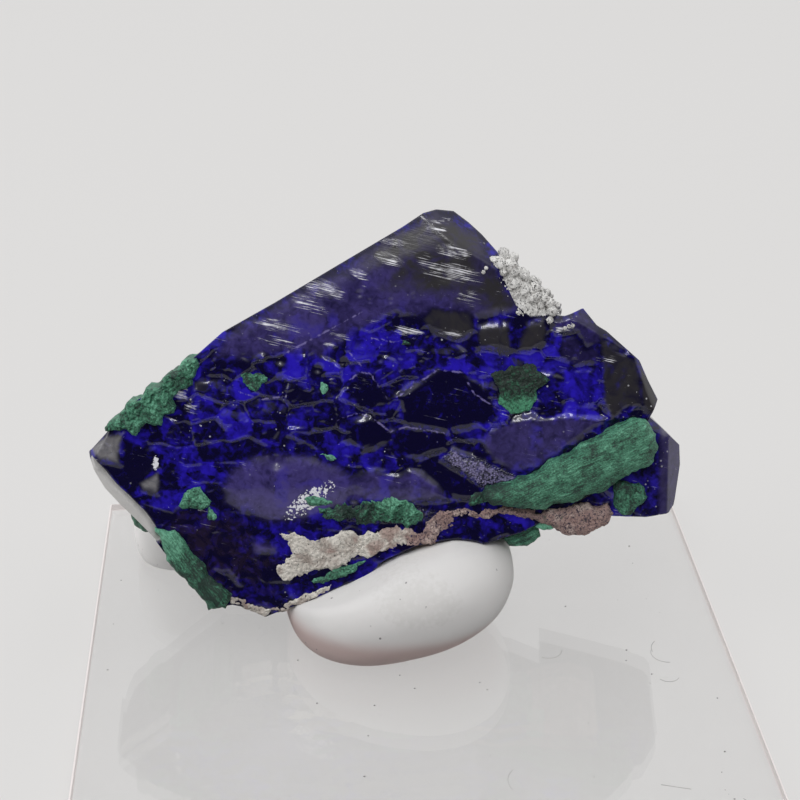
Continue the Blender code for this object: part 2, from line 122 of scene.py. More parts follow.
def cells(x: Array, z: Array, seed: int, size: float) -> tuple[Array, Array, Array]:
    """Distances to the nearest two of the points strewn one to a lattice cell.

    Args:
        x, z: places, in millimetres.
        seed: which points to strew.
        size: millimetres from point to point.

    Returns:
        The nearest distance and the second nearest, in sizes, and a number from 0 to 1 for the nearest.
    """
    i, j = np.floor(x / size), np.floor(z / size)
    nearest = np.full(np.broadcast(x, z).shape, 9.0)
    second = nearest.copy()
    key = np.zeros_like(nearest)
    for step_i in (-1, 0, 1):
        for step_j in (-1, 0, 1):
            a, b = i + step_i, j + step_j
            away = np.hypot(a + lattice(a, b, seed) - x / size, b + lattice(a, b, seed + 1) - z / size)
            closer = away < nearest
            second = np.where(closer, nearest, np.minimum(second, away))
            key = np.where(closer, lattice(a, b, seed + 2), key)
            nearest = np.where(closer, away, nearest)
    return nearest, second, key


def mosaic(x: Array, z: Array, seed: int, size: float) -> tuple[Array, Array, Array]:
    """Flat crystal tops side by side, each leaning its own way round a middle strewn in a lattice cell.

    Each place takes the tops of the nine cells round it, by weights that fall off so fast with distance that
    only a narrow strip at each joint is shared.

    Args:
        x, z: places, in millimetres.
        seed: which crystals to strew.
        size: millimetres from crystal to crystal.

    Returns:
        The relief in sizes, a number from 0 to 1 by crystal, and how much of a place its own crystal has.
    """
    i, j = np.floor(x / size), np.floor(z / size)
    relief, key, total = np.zeros(x.shape), np.zeros(x.shape), np.full(x.shape, 1e-30)
    most = np.zeros(x.shape)
    for step_i in (-1, 0, 1):
        for step_j in (-1, 0, 1):
            a, b = i + step_i, j + step_j
            away_x = x / size - a - 0.1 - 0.8 * lattice(a, b, seed)
            away_z = z / size - b - 0.1 - 0.8 * lattice(a, b, seed + 1)
            own = lattice(a, b, seed + 2)
            lean = (lattice(a, b, seed + 3) - 0.5) * away_x + (0.62 * lattice(a, b, seed + 4) - 0.5) * away_z
            weight = np.exp(-34.0 * (away_x**2 + away_z**2))
            relief += weight * (0.09 * lattice(a, b, seed + 5) + 0.33 * lean)
            key += weight * own
            total += weight
            most = np.maximum(most, weight)
    return relief / total, key / total, most / total


def soft_min(first: Array, second: Array, round_off: float) -> Array:
    """The lower of two, with the corner between them rounded off over the given height."""
    near = np.maximum(round_off - np.abs(first - second), 0.0) / round_off
    return np.minimum(first, second) - near * near * round_off * 0.25


def near_line(x: Array, z: Array, points: list[Point]) -> Array:
    """The distance of each place from a bent line.

    Args:
        x, z: places, in millimetres.
        points: the line's ends and bends.

    Returns:
        The distances.
    """
    nearest = np.full(np.broadcast(x, z).shape, np.inf)
    for (x_a, z_a), (x_b, z_b) in zip(points, points[1:]):
        run_x, run_z = x_b - x_a, z_b - z_a
        t = np.clip(((x - x_a) * run_x + (z - z_a) * run_z) / (run_x**2 + run_z**2), 0.0, 1.0)
        nearest = np.minimum(nearest, np.hypot(x - x_a - t * run_x, z - z_a - t * run_z))
    return nearest


def ease(value: Array, low: float, high: float) -> Array:
    """0 below low and 1 above high, with a smooth rise between them."""
    t = np.clip((value - low) / (high - low), 0.0, 1.0)
    return t * t * (3 - 2 * t)


def spot(x: Array, z: Array, centre: Point, half: Point, turn: float = 0.0) -> Array:
    """A round hill, 1 at the middle of an ellipse and 0 from its edge out.

    Args:
        x, z: places, in millimetres.
        centre, half: the middle and the half sizes of the ellipse.
        turn: how far it is turned, counter-clockwise, in degrees.

    Returns:
        The height of the hill at each place.
    """
    c, s = math.cos(math.radians(turn)), math.sin(math.radians(turn))
    a = ((x - centre[0]) * c + (z - centre[1]) * s) / half[0]
    b = ((z - centre[1]) * c - (x - centre[0]) * s) / half[1]
    return np.clip(1.0 - a * a - b * b, 0.0, 1.0)


@dataclass(frozen=True)
class Outline:
    """A closed outline on the face."""

    points: list[Point]

    @property
    def left(self) -> float:
        """The lowest x of the outline."""
        return min(x for x, _ in self.points)

    @property
    def right(self) -> float:
        """The highest x of the outline."""
        return max(x for x, _ in self.points)

    def sides(self) -> list[tuple[Point, Point]]:
        """Each side as its two ends."""
        return list(zip(self.points, self.points[1:] + self.points[:1]))

    def span(self, x: Array) -> tuple[Array, Array]:
        """The lowest and the highest z of the outline at each x, where each side crosses it.

        Args:
            x: places along the face.

        Returns:
            The low and the high edge.
        """
        low, high = np.full(x.shape, np.inf), np.full(x.shape, -np.inf)
        for (x_a, z_a), (x_b, z_b) in self.sides():
            if abs(x_b - x_a) < 1e-9:
                continue
            t = (x - x_a) / (x_b - x_a)
            z = z_a + t * (z_b - z_a)
            crosses = (t >= -1e-6) & (t <= 1 + 1e-6)
            low = np.where(crosses, np.minimum(low, z), low)
            high = np.where(crosses, np.maximum(high, z), high)
        return low, high

    def room(self, x: Array, z: Array) -> Array:
        """How far each place is inside the outline: its distance from the nearest side, less than 0 outside.

        Args:
            x, z: places on the face.

        Returns:
            The signed distances.
        """
        nearest = near_line(x, z, self.points + self.points[:1])
        inside = np.zeros(nearest.shape, bool)
        for (x_a, z_a), (x_b, z_b) in self.sides():
            run_x, run_z = x_b - x_a, z_b - z_a
            if abs(run_z) > 1e-9:
                crossing = x_a + (z - z_a) / run_z * run_x
                inside ^= ((z_a > z) != (z_b > z)) & (x < crossing)
        return np.where(inside, nearest, -nearest)

    def turned(self, degrees: float) -> "Outline":
        """The outline turned counter-clockwise about the face's origin."""
        c, s = math.cos(math.radians(degrees)), math.sin(math.radians(degrees))
        return Outline([(x * c - z * s, x * s + z * c) for x, z in self.points])


@dataclass(frozen=True)
class Cut:
    """A flat cut of the stone: a point on it and the way that it faces."""

    point: tuple[float, float, float]
    facing: tuple[float, float, float]

    def depth(self, x: Array, z: Array) -> Array:
        """The depth at which a line into the stone through each place meets the cut."""
        slope_x, slope_z = self.facing[0] / self.facing[1], self.facing[2] / self.facing[1]
        return self.point[1] - slope_x * (x - self.point[0]) - slope_z * (z - self.point[2])


@dataclass(frozen=True)
class Stance:
    """How the stone stands on the plate: where its face frame starts, its lean and its turn."""

    origin: tuple[float, float, float] = (-0.6, 15.9, 40.2)
    lean_back: float = math.radians(20.0)
    turn: float = math.radians(-4.0)

    def place(self, points: Array) -> Array:
        """Turns face millimetres into row-frame millimetres: a lean about x, a turn about z, a shift.

        Args:
            points: an array whose last axis is x, y, z in the face frame.

        Returns:
            An array of the same shape.
        """
        c, s = math.cos(-self.lean_back), math.sin(-self.lean_back)
        lean = np.array([[1, 0, 0], [0, c, -s], [0, s, c]])
        c, s = math.cos(self.turn), math.sin(self.turn)
        turn = np.array([[c, -s, 0], [s, c, 0], [0, 0, 1]])
        return points @ (turn @ lean).T + np.array(self.origin)


STANCE = Stance()


# Meshes from grids


def closed_loft(rings: Array) -> tuple[Array, list[list[int]]]:
    """Joins closed rings, one after the other, and closes both ends with a fan round their middle.

    Args:
        rings: an array of rings by points by 3.

    Returns:
        The points and the faces.
    """
    count, around = rings.shape[:2]
    poles = np.stack([rings[0].mean(0), rings[-1].mean(0)])
    points = np.concatenate([rings.reshape(-1, 3), poles])
    index = np.arange(count * around).reshape(count, around)
    beside = np.roll(index, -1, axis=1)
    quads = np.stack([index[:-1], beside[:-1], beside[1:], index[1:]], -1).reshape(-1, 4)
    start, end = count * around, count * around + 1
    first = np.stack([np.full(around, start), beside[0], index[0]], -1)
    last = np.stack([np.full(around, end), index[-1], beside[-1]], -1)
    return points, quads.tolist() + first.tolist() + last.tolist()


def volume_sign(points: Array, faces: list[list[int]]) -> float:
    """The sign of a closed mesh's volume, by summing the wedges from the origin to its faces.

    Args:
        points: the mesh's points.
        faces: indices of each face's three or four corners.

    Returns:
        1 where the faces point outward, and -1 where they point inward.
    """
    corners = np.array([[face[0], face[1], face[2]] for face in faces] +
                       [[face[0], face[2], face[3]] for face in faces if len(face) == 4])
    a, b, c = (points[corners[:, n]] for n in range(3))
    return float(np.sign(np.einsum("ij,ij->i", a, np.cross(b, c)).sum()))


def ball_grid(reach: float, rows: int, around: int) -> tuple[Array, Array, Array]:
    """The latitudes, longitudes and points of a ball of radius 1, rings of points open at both poles.

    Args:
        reach: the latitude of the first and the last ring, in radians.
        rows, around: how many rings, and how many points to a ring.

    Returns:
        The latitudes, the longitudes and the points.
    """
    longitudes = np.linspace(0, 2 * math.pi, around + 1)[:-1]
    lat, lon = np.meshgrid(np.linspace(-reach, reach, rows), longitudes, indexing="ij")
    return lat, lon, np.stack([np.cos(lat) * np.cos(lon), np.cos(lat) * np.sin(lon), np.sin(lat)], -1)


def merged_lofts(shapes: list[Array]) -> tuple[Array, list[list[int]]]:
    """Closes many small shapes and puts them into one mesh, each with its faces outward.

    Args:
        shapes: the rings of each shape.

    Returns:
        The points and the faces.
    """
    points, faces, first = [], [], 0
    for shape in shapes:
        made, sides = closed_loft(shape)
        if volume_sign(made - made.mean(0), sides) < 0:
            sides = [side[::-1] for side in sides]
        points.append(made)
        faces += [[corner + first for corner in side] for side in sides]
        first += len(made)
    return np.concatenate(points), faces


def make_piece(
    name: str, points: Array, faces: list[list[int]], channels: dict[str, Array], smooth: bool = True
) -> bpy.types.Object:
    """Puts a closed mesh into the scene, its faces outward.

    Args:
        name: the piece's name.
        points: row-frame millimetres.
        faces: indices of each face's corners.
        channels: one number or vector for each point, by name, for the finish to read.
        smooth: whether its faces are shaded as one bent surface.

    Returns:
        The new object.
    """
    if volume_sign(points, faces) < 0:
        faces = [face[::-1] for face in faces]
    mesh = bpy.data.meshes.new(name)
    mesh.from_pydata((points * MM).tolist(), [], faces)
    mesh.polygons.foreach_set("use_smooth", np.full(len(faces), smooth))
    for channel, values in channels.items():
        kind, key = ("FLOAT", "value") if values.ndim == 1 else ("FLOAT_VECTOR", "vector")
        made = mesh.attributes.new(channel, kind, "POINT")
        made.data.foreach_set(key, values.astype(np.float32).ravel())
    mesh.update()
    piece = bpy.data.objects.new(name, mesh)
    bpy.context.scene.collection.objects.link(piece)
    return piece


@dataclass(frozen=True)
class SlabGrid:
    """How finely a slab is divided: columns along it, then rows on its face, back and walls.

    The upper edge of the back is lower than that of the face by draw_in times the slab's depth.
    """

    columns: int
    face_rows: int
    back_rows: int
    wall_rows: int
    draw_in: float = 0.0


def slab_rings(
    outline: Outline,
    front: Callable[[Array, Array], Array],
    back: Callable[[Array, Array], Array],
    grid: SlabGrid,
    under: Callable[[Array, Array], Array] | None = None,
) -> tuple[Array, Array]:
    """Rings round a slab, one at each column: up the face, over the top edge, down the back and under.

    At each x the outline gives the low and the high edge, and z runs between them.

    Args:
        outline: the outline of the slab.
        front, back: the depth of the face and of the back at (x, z).
        grid: how finely the slab is divided.
        under: the lowest z allowed at (x, y), where the lower edge is hollowed.

    Returns:
        The rings, and for each point how much of it is face: 1 on the face, 0 elsewhere.
    """
    x = np.linspace(outline.left + 0.004, outline.right - 0.004, grid.columns)
    low, high = outline.span(x)
    front_low = low if under is None else np.maximum(low, under(x, np.zeros_like(x)))
    depth_low = back(x, low)
    back_low = low if under is None else np.maximum(low, under(x, depth_low))
    rise = np.linspace(0, 1, grid.face_rows)
    fall = np.linspace(1, 0, grid.back_rows)
    walk = np.linspace(0, 1, grid.wall_rows + 2)[1:-1]

    def lay(z: Array, y: Array) -> Array:
        """Puts the columns' x beside each z and y, as points."""
        return np.stack([np.broadcast_to(x[:, None], z.shape), y, z], -1)

    z_front = front_low[:, None] + (high - front_low)[:, None] * rise
    x_front = np.broadcast_to(x[:, None], z_front.shape)
    y_front = front(x_front, z_front)
    high_back = high - grid.draw_in * np.maximum(back(x, high), 0.0)
    z_back = back_low[:, None] + (high_back - back_low)[:, None] * fall
    y_back = np.maximum(back(np.broadcast_to(x[:, None], z_back.shape), z_back), 0.0)
    y_front = np.minimum(y_front, back(x_front, z_front) - 0.02)
    y_over = y_front[:, -1:] + (y_back[:, :1] - y_front[:, -1:]) * walk
    y_under = y_back[:, -1:] + (y_front[:, :1] - y_back[:, -1:]) * walk
    z_over = high[:, None] + (high_back - high)[:, None] * walk
    z_under = z_back[:, -1:] + (z_front[:, :1] - z_back[:, -1:]) * walk
    if under is not None:
        z_under = np.maximum(low[:, None], under(np.broadcast_to(x[:, None], y_under.shape), y_under))
    rings = np.concatenate(
        [lay(z_front, y_front), lay(z_over, y_over), lay(z_back, y_back), lay(z_under, y_under)], 1
    )
    faced = np.zeros(rings.shape[:2])
    faced[:, : grid.face_rows] = 1.0
    return rings, faced


# Node trees from expressions


@dataclass(frozen=True)
class Wire:
    """An output of a node that can stand in a sum, a difference or a product."""

    tree: "Tree"
    socket: bpy.types.NodeSocket

    def _math(self, operation: str, first: "Wire | float", second: "Wire | float") -> "Wire":
        """Adds a Math node."""
        return self.tree.node("ShaderNodeMath", {"operation": operation}, {0: first, 1: second})

    def __add__(self, other: "Wire | float") -> "Wire":
        """self + other."""
        return self._math("ADD", self, other)

    def __radd__(self, other: float) -> "Wire":
        """other + self."""
        return self._math("ADD", other, self)

    def __sub__(self, other: "Wire | float") -> "Wire":
        """self - other."""
        return self._math("SUBTRACT", self, other)

    def __rsub__(self, other: float) -> "Wire":
        """other - self."""
        return self._math("SUBTRACT", other, self)

    def __mul__(self, other: "Wire | float") -> "Wire":
        """self * other."""
        return self._math("MULTIPLY", self, other)

    def __rmul__(self, other: float) -> "Wire":
        """other * self."""
        return self._math("MULTIPLY", other, self)

    def eased(self, low: float, high: float) -> "Wire":
        """0 below low and 1 above high, with a smooth rise between them."""
        values = {"Value": self, "From Min": low, "From Max": high, "To Min": 0.0, "To Max": 1.0}
        return self.tree.node("ShaderNodeMapRange", {"interpolation_type": "SMOOTHSTEP"}, values)


class Tree:
    """A node tree that is built from expressions."""

    def __init__(self, tree: bpy.types.NodeTree) -> None:
        """Empties the tree."""
        self.tree = tree
        tree.nodes.clear()

    def node(self, kind: str, settings: dict, values: dict, output: int | str = 0) -> Wire:
        """Adds a node.

        Args:
            kind: the node's type.
            settings: its settings, which are set first.
            values: the value or the link of each socket, by name or number.
            output: which output to give.

        Returns:
            That output.
        """
        made = self.tree.nodes.new(kind)
        for name, value in settings.items():
            setattr(made, name, value)
        for key, value in values.items():
            if isinstance(value, Wire):
                self.tree.links.new(value.socket, made.inputs[key])
            else:
                made.inputs[key].default_value = value
        return Wire(self, made.outputs[output])

    def channel(self, name: str) -> Wire:
        """A number that the mesh holds at each point."""
        return self.node("ShaderNodeAttribute", {"attribute_name": name}, {}, "Fac")

    def grain(self, stretch: tuple[float, float, float], turn: float = 0.0) -> Wire:
        """The mesh's own pattern place, in millimetres, turned about y and stretched.

        Args:
            stretch: what each axis is multiplied by.
            turn: a turn in the face, in degrees.

        Returns:
            The place, as a vector.
        """
        place = self.node("ShaderNodeAttribute", {"attribute_name": "grain"}, {}, "Vector")
        if turn:
            angle = (0.0, math.radians(turn), 0.0)
            place = self.node("ShaderNodeMapping", {}, {"Vector": place, "Rotation": angle})
        return self.node("ShaderNodeVectorMath", {"operation": "MULTIPLY"}, {0: place, 1: stretch})

    def blend(self, factor: Wire | float, first: Wire | Colour, second: Wire | Colour) -> Wire:
        """Mixes two colours: the first at factor 0, the second at factor 1."""
        first, second = ((*c, 1.0) if isinstance(c, tuple) else c for c in (first, second))
        return self.node("ShaderNodeMix", {"data_type": "RGBA"}, {0: factor, 6: first, 7: second}, 2)

    def noise(self, place: Wire, scale: float, detail: float = 3.0, twist: float = 0.0) -> Wire:
        """Smooth noise from 0 to 1."""
        values = {"Vector": place, "Scale": scale, "Detail": detail, "Distortion": twist}
        return self.node("ShaderNodeTexNoise", {}, values, 0)

    def pebbles(self, place: Wire, scale: float, feature: str = "F1") -> Wire:
        """Distance to the nearest strewn point, or to the nearest border between them."""
        return self.node("ShaderNodeTexVoronoi", {"feature": feature}, {"Vector": place, "Scale": scale})

    def bump(self, height: Wire, strength: float, distance: float, below: Wire | None = None) -> Wire:
        """Turns a height into a normal, on top of another bump where there is one.

        Args:
            height: the height.
            strength, distance: how strong and how high the bump is.
            below: the normal of the other bump.

        Returns:
            The normal.
        """
        values = {"Height": height, "Strength": strength, "Distance": distance}
        if below is not None:
            values["Normal"] = below
        return self.node("ShaderNodeBump", {}, values)

    def surface(self, values: dict) -> None:
        """Ends a material with a Principled shader."""
        shader = self.node("ShaderNodeBsdfPrincipled", {}, values)
        self.finish("ShaderNodeOutputMaterial", shader)

    def finish(self, kind: str, shader: Wire) -> None:
        """Links a shader to the output of the material or of the world."""
        end = self.tree.nodes.new(kind)
        self.tree.links.new(shader.socket, end.inputs["Surface"])


def new_material(name: str) -> tuple[bpy.types.Material, Tree]:
    """An empty material and its tree.

    Args:
        name: the material's name.

    Returns:
        The material and its tree.
    """
    made = bpy.data.materials.new(name)
    made.use_nodes = True
    return made, Tree(made.node_tree)


@dataclass(frozen=True)
class AzuriteFinish:
    """Deep blue crystal: near black in its depths, glossy, with electric blue painted as the glow where light
    comes through.
    """

    depth: Colour = (0.0030, 0.0020, 0.0230)
    # A painted glow: the light that comes through the crystal.
    electric: Colour = (0.0220, 0.0110, 0.4500)
    # A painted reflection: the violet-grey sheen of facets turned to the pale room.
    violet: Colour = (0.0620, 0.0470, 0.2000)
    # A painted reflection: the charcoal-grey sheen of smooth facets.
    slate: Colour = (0.0290, 0.0270, 0.0310)
    brown: Colour = (0.0330, 0.0200, 0.0270)
    # A painted reflection of the pale floor, in faces turned down.
    pale: Colour = (0.5200, 0.5100, 0.5000)
    # Painted highlights on convex edges, joints and cracks.
    edge_highlight: Colour = (0.2100, 0.1800, 0.4200)
    drusy: Colour = (0.1900, 0.1650, 0.3400)
    # Painted glints: the white of the striae and of the sparks.
    glint_white: Colour = (0.8000, 0.8000, 0.8600)
    gloss: float = 0.13

    def material(self) -> bpy.types.Material:
        """Builds the material from the channels of the crystal's mesh and fine noise.

        Returns:
            The material.
        """
        made, tree = new_material("azurite_blue")
        place = tree.grain((1.0, 1.0, 1.0))
        clouds = tree.noise(place, 0.34, 5.0, 1.2)
        fine = tree.noise(place, 1.0, 5.0, 0.8)
        druse = tree.channel("drusy")
        crumbs = tree.pebbles(place, 3.2)
        streaks = tree.noise(tree.grain((0.20, 1.0, 6.5), -13.0), 1.0, 3.0, 0.9)
        base = self.body(tree, clouds, fine)
        # Painted highlights: pale lines on convex edges and joints, and along the cracks.
        edge = (tree.channel("ridge") * (0.1 + fine * 1.1)).eased(0.25, 1.1) * 0.5
        crack = (tree.channel("crack") * (0.55 + (fine - 0.5) * 2.5)).eased(0.25, 0.75) * 0.7
        base = tree.blend((edge + crack).eased(0.0, 1.0), base, self.edge_highlight)
        sugar = (druse * (1.25 - crumbs) + (fine - 0.5) * 1.6).eased(0.35, 1.0)
        sugar = sugar * (druse * 3.0).eased(0.0, 1.0)
        base = tree.blend(sugar, base, self.drusy)
        # The striae are bumped for real, and their glints are painted on as white.
        lit = tree.channel("streak") * 0.9 + (streaks - 0.5) * 3.6 + (clouds - 0.5) * 1.6 - 0.66
        lit = lit.eased(0.10, 0.80)
        base = tree.blend(lit, base, self.glint_white)
        # Painted glints, as white points.
        base = tree.blend(self.sparks(tree, place), base, self.glint_white)
        height = streaks * (0.10 + tree.channel("streak") * 2.0 + tree.channel("slate") * 0.4) + fine * 0.3
        normal = tree.bump(height, 0.25, 0.00010)
        normal = tree.bump(crumbs * druse, 0.9, 0.0003, normal)
        dull = tree.channel("violet") * 0.10 + tree.channel("pale") * 0.25
        tree.surface({
            "Base Color": base, "Roughness": self.gloss + dull + sugar * 0.2, "Normal": normal, "IOR": 1.50,
        })
        return made

    def body(self, tree: Tree, clouds: Wire, fine: Wire) -> Wire:
        """The colour of the crystal itself: deep to electric, the electric a painted glow of light coming
        through, then a violet and a grey sheen as painted reflections, the brown stain, and pale faces as a
        painted reflection.

        Args:
            tree: the material's tree.
            clouds, fine: coarse and fine noise.

        Returns:
            The colour.
        """
        # A painted glow of light through the crystal, in clouds.
        glow = (tree.channel("glow") + (clouds - 0.5) * 1.5 + (fine - 0.5) * 1.3).eased(0.08, 1.15)
        base = tree.blend(glow, self.depth, self.electric)
        # Painted reflection: a violet-grey sheen where the violet channel says.
        drusy_and_sheen = (tree.channel("violet") * (0.75 + (fine - 0.5) * 1.0 + (clouds - 0.5) * 1.0)).eased(0.05, 1.0)
        base = tree.blend(drusy_and_sheen, base, self.violet)
        # Painted reflection: a charcoal-grey sheen where the slate channel says.
        dull = (tree.channel("slate") * (0.85 + (clouds - 0.5) * 1.8)).eased(0.1, 0.9)
        base = tree.blend(dull, base, self.slate)
        stain = (tree.channel("brown") * (0.7 + (clouds - 0.5) * 4.0)).eased(0.25, 1.0) * 0.42
        base = tree.blend(stain, base, self.brown)
        return tree.blend((tree.channel("pale") * (0.6 + fine * 0.8)).eased(0.05, 1.0), base, self.pale)

    def sparks(self, tree: Tree, place: Wire) -> Wire:
        """Painted glints, as white points: single ones strewn wide, and a crowd of them where the glitter
        channel says.

        Args:
            tree: the material's tree.
            place: the pattern's place.

        Returns:
            How white each place is, from 0 to 1.
        """
        single = (0.100 - tree.pebbles(place, 0.50)).eased(0.0, 0.05) * tree.channel("sparkle")
        second = (0.13 - tree.pebbles(place, 0.9)).eased(0.0, 0.06) * tree.channel("sparkle") * 0.55
        crowded = tree.channel("glitter") * 1.3 + (tree.noise(place, 2.4, 4.0) - 0.5) * 4.0
        crowded = (crowded - 0.8).eased(0.1, 0.4)
        return (single + second + crowded).eased(0.0, 1.0)


@dataclass(frozen=True)
class MalachiteFinish:
    """Fibrous green: dark between the fibres, pale on their tops, dull as velvet."""

    name: str
    dark: Colour = (0.0080, 0.0300, 0.0220)
    middle: Colour = (0.0400, 0.1750, 0.1030)
    light: Colour = (0.1500, 0.4200, 0.2800)
    stretch: tuple[float, float, float] = (0.40, 1.0, 3.0)
    bump: float = 0.8

    def material(self) -> bpy.types.Material:
        """Builds the material, with its pattern stretched along the fibres.

        Returns:
            The material.
        """
        made, tree = new_material(self.name)
        fibres = tree.noise(tree.grain(self.stretch), 1.5, 6.0, 1.4)
        place = tree.grain((1.0, 1.0, 1.0))
        clouds = tree.noise(place, 0.55, 4.0, 0.8)
        dust = tree.noise(place, 4.2, 4.0)
        tone = (fibres - 0.5) * 3.2 + (clouds - 0.5) * 2.0 + (dust - 0.5) * 2.2
        tone = tone + tree.channel("ridge") * 0.45 + tree.channel("tone")
        base = tree.blend((tone + 0.60).eased(-0.1, 0.85), self.dark, self.middle)
        base = tree.blend((tone - 0.05).eased(0.0, 1.1), base, self.light)
        normal = tree.bump(fibres + dust * 0.5, self.bump, 0.0003)
        tree.surface({"Base Color": base, "Roughness": 0.62 - dust * 0.1, "Normal": normal, "IOR": 1.5})
        return made


@dataclass(frozen=True)
class MatrixFinish:
    """Pale crumbly rock with dark specks and stains."""

    name: str
    pale: Colour
    stain: Colour
    speck: Colour
    stain_share: float = 0.5
    speck_share: float = 0.5
    grain: float = 2.4
    blush: Colour = (0.40, 0.27, 0.24)
    moss: Colour = (0.085, 0.10, 0.075)

    def material(self) -> bpy.types.Material:
        """Builds the material: stains in clouds, specks from noise, blush and moss where the tone says.

        Returns:
            The material.
        """
        made, tree = new_material(self.name)
        place = tree.grain((1.0, 1.0, 1.0))
        clouds = tree.noise(place, 0.45, 4.0, 0.5)
        grit = tree.noise(place, self.grain, 5.0)
        specks = tree.noise(place, self.grain * 1.3, 2.0, 1.0)
        base = tree.blend((clouds + self.stain_share - 1.0).eased(-0.08, 0.14), self.pale, self.stain)
        tint = (tree.channel("tone") + (clouds - 0.5) * 3.0 - 0.4).eased(0.0, 0.5)
        base = tree.blend(tint * 0.7, base, self.blush)
        mossy = (tree.channel("tone") + (tree.noise(place, 0.7, 4.0) - 0.5) * 3.4 - 1.25).eased(0.0, 0.5)
        base = tree.blend(mossy, base, self.moss)
        base = tree.blend((0.62 - grit).eased(0.0, 0.4) * 0.5, base, self.speck)
        base = tree.blend((specks + self.speck_share * 0.3 - 0.78).eased(0.0, 0.06), base, self.speck)
        normal = tree.bump(grit, 0.8, 0.0004)
        tree.surface({"Base Color": base, "Roughness": 0.86 + grit * 0.1, "Normal": normal})
        return made


@dataclass(frozen=True)
class PuttyFinish:
    """Matte white putty with a few specks, a rubbed stain, and painted shade low down, tinted pink as by
    light from below.
    """

    name: str = "putty_white"
    white: Colour = (0.71, 0.698, 0.690)
    # Painted shade for the underside, pink-tinted.
    pinkish: Colour = (0.56, 0.43, 0.41)
    speck: Colour = (0.10, 0.09, 0.10)
    smudge: Colour = (0.34, 0.33, 0.28)

    def material(self) -> bpy.types.Material:
        """Builds the material from the channels of the lump's mesh.

        Returns:
            The material.
        """
        made, tree = new_material(self.name)
        place = tree.grain((1.0, 1.0, 1.0))
        soft = tree.noise(place, 0.25, 3.0)
        # Painted pink-tinted shade where the low channel says, on the lump's underside.
        base = tree.blend(tree.channel("low").eased(0.0, 0.9) * 0.95, self.white, self.pinkish)
        rubbed = (tree.channel("smudge") + (tree.noise(place, 1.4, 4.0) - 0.5) * 1.6 - 0.45).eased(0.0, 0.6)
        base = tree.blend(rubbed * 0.12, base, self.smudge)
        specks = (0.10 - tree.pebbles(place, 0.42)).eased(0.0, 0.05)
        some = (tree.noise(place, 0.9, 1.0) - 0.52).eased(0.0, 0.05)
        base = tree.blend(specks * some * 0.8, base, self.speck)
        normal = tree.bump(soft + tree.noise(place, 2.5, 3.0) * 0.05, 0.25, 0.0006)
        tree.surface({"Base Color": base, "Roughness": 0.62, "Normal": normal, "IOR": 1.45})
        return made


@dataclass(frozen=True)
class AcrylicFinish:
    """Clear acrylic sheet, polished, with the faintest warm tint."""

    tint: Colour = (1.0, 0.998, 0.997)
    edge_tint: Colour = (0.965, 0.925, 0.915)

    def material(self) -> bpy.types.Material:
        """Builds the material: transmission with plain values, faint haze, and more tint at the bends.

        Returns:
            The material.
        """
        made, tree = new_material("clear_acrylic")
        place = tree.node("ShaderNodeTexCoord", {}, {}, "Object")
        haze = tree.noise(place, 90.0, 4.0)
        edge = tree.channel("edge")
        tree.surface({
            "Base Color": tree.blend(edge, self.tint, self.edge_tint),
            "Roughness": haze * 0.02, "Transmission Weight": 1.0, "IOR": 1.49,
        })
        return made


@dataclass(frozen=True)
class SawnEdgeFinish:
    """The edge of the sheet, dulled by the saw: pale, with a painted glow, by emission, for the light that
    the sheet carries to its rim.
    """

    colour: Colour = (0.52, 0.485, 0.475)
    line: Colour = (0.45, 0.420, 0.410)
    # A painted glow: emission for the light that the sheet carries to its rim.
    painted_glow: tuple[float, float, float, float] = (1.0, 0.935, 0.920, 1.0)
    painted_glow_strength: float = 0.30
    stretch: tuple[float, float, float] = (20.0, 20.0, 3000.0)

    def material(self) -> bpy.types.Material:
        """Builds the material, its lines from noise stretched along the sheet.

        Returns:
            The material.
        """
        made, tree = new_material("sawn_edge")
        place = tree.node("ShaderNodeTexCoord", {}, {}, "Object")
        flat = tree.node("ShaderNodeVectorMath", {"operation": "MULTIPLY"}, {0: place, 1: self.stretch})
        lines = tree.noise(flat, 1.0, 2.0)
        tree.surface({
            "Base Color": tree.blend(lines, self.colour, self.line), "Roughness": 0.5 + lines * 0.1,
            "Emission Color": self.painted_glow, "Emission Strength": self.painted_glow_strength,
        })
        return made


@dataclass(frozen=True)
class DustFinish:
    """Grey lint and dust."""

    colour: Colour = (0.16, 0.15, 0.15)
    pale: Colour = (0.42, 0.40, 0.39)

    def material(self) -> bpy.types.Material:
        """Builds the material, mottled from speck to speck.

        Returns:
            The material.
        """
        made, tree = new_material("grey_dust")
        place = tree.node("ShaderNodeTexCoord", {}, {}, "Object")
        tone = tree.noise(place, 160.0, 2.0)
        base = tree.blend(tone.eased(0.35, 0.65), self.colour, self.pale)
        tree.surface({"Base Color": base, "Roughness": 0.9})
        return made


# The azurite


class Tone(Enum):
    """How a facet of the face looks.

    GLOW is a painted glow of light coming through; VIOLET, SLATE and PALE are painted reflections.
    """

    DEEP = "deep"
    GLOW = "glow"
    VIOLET = "violet"
    SLATE = "slate"
    BROWN = "brown"
    PALE = "pale"
    DRUSY = "drusy"


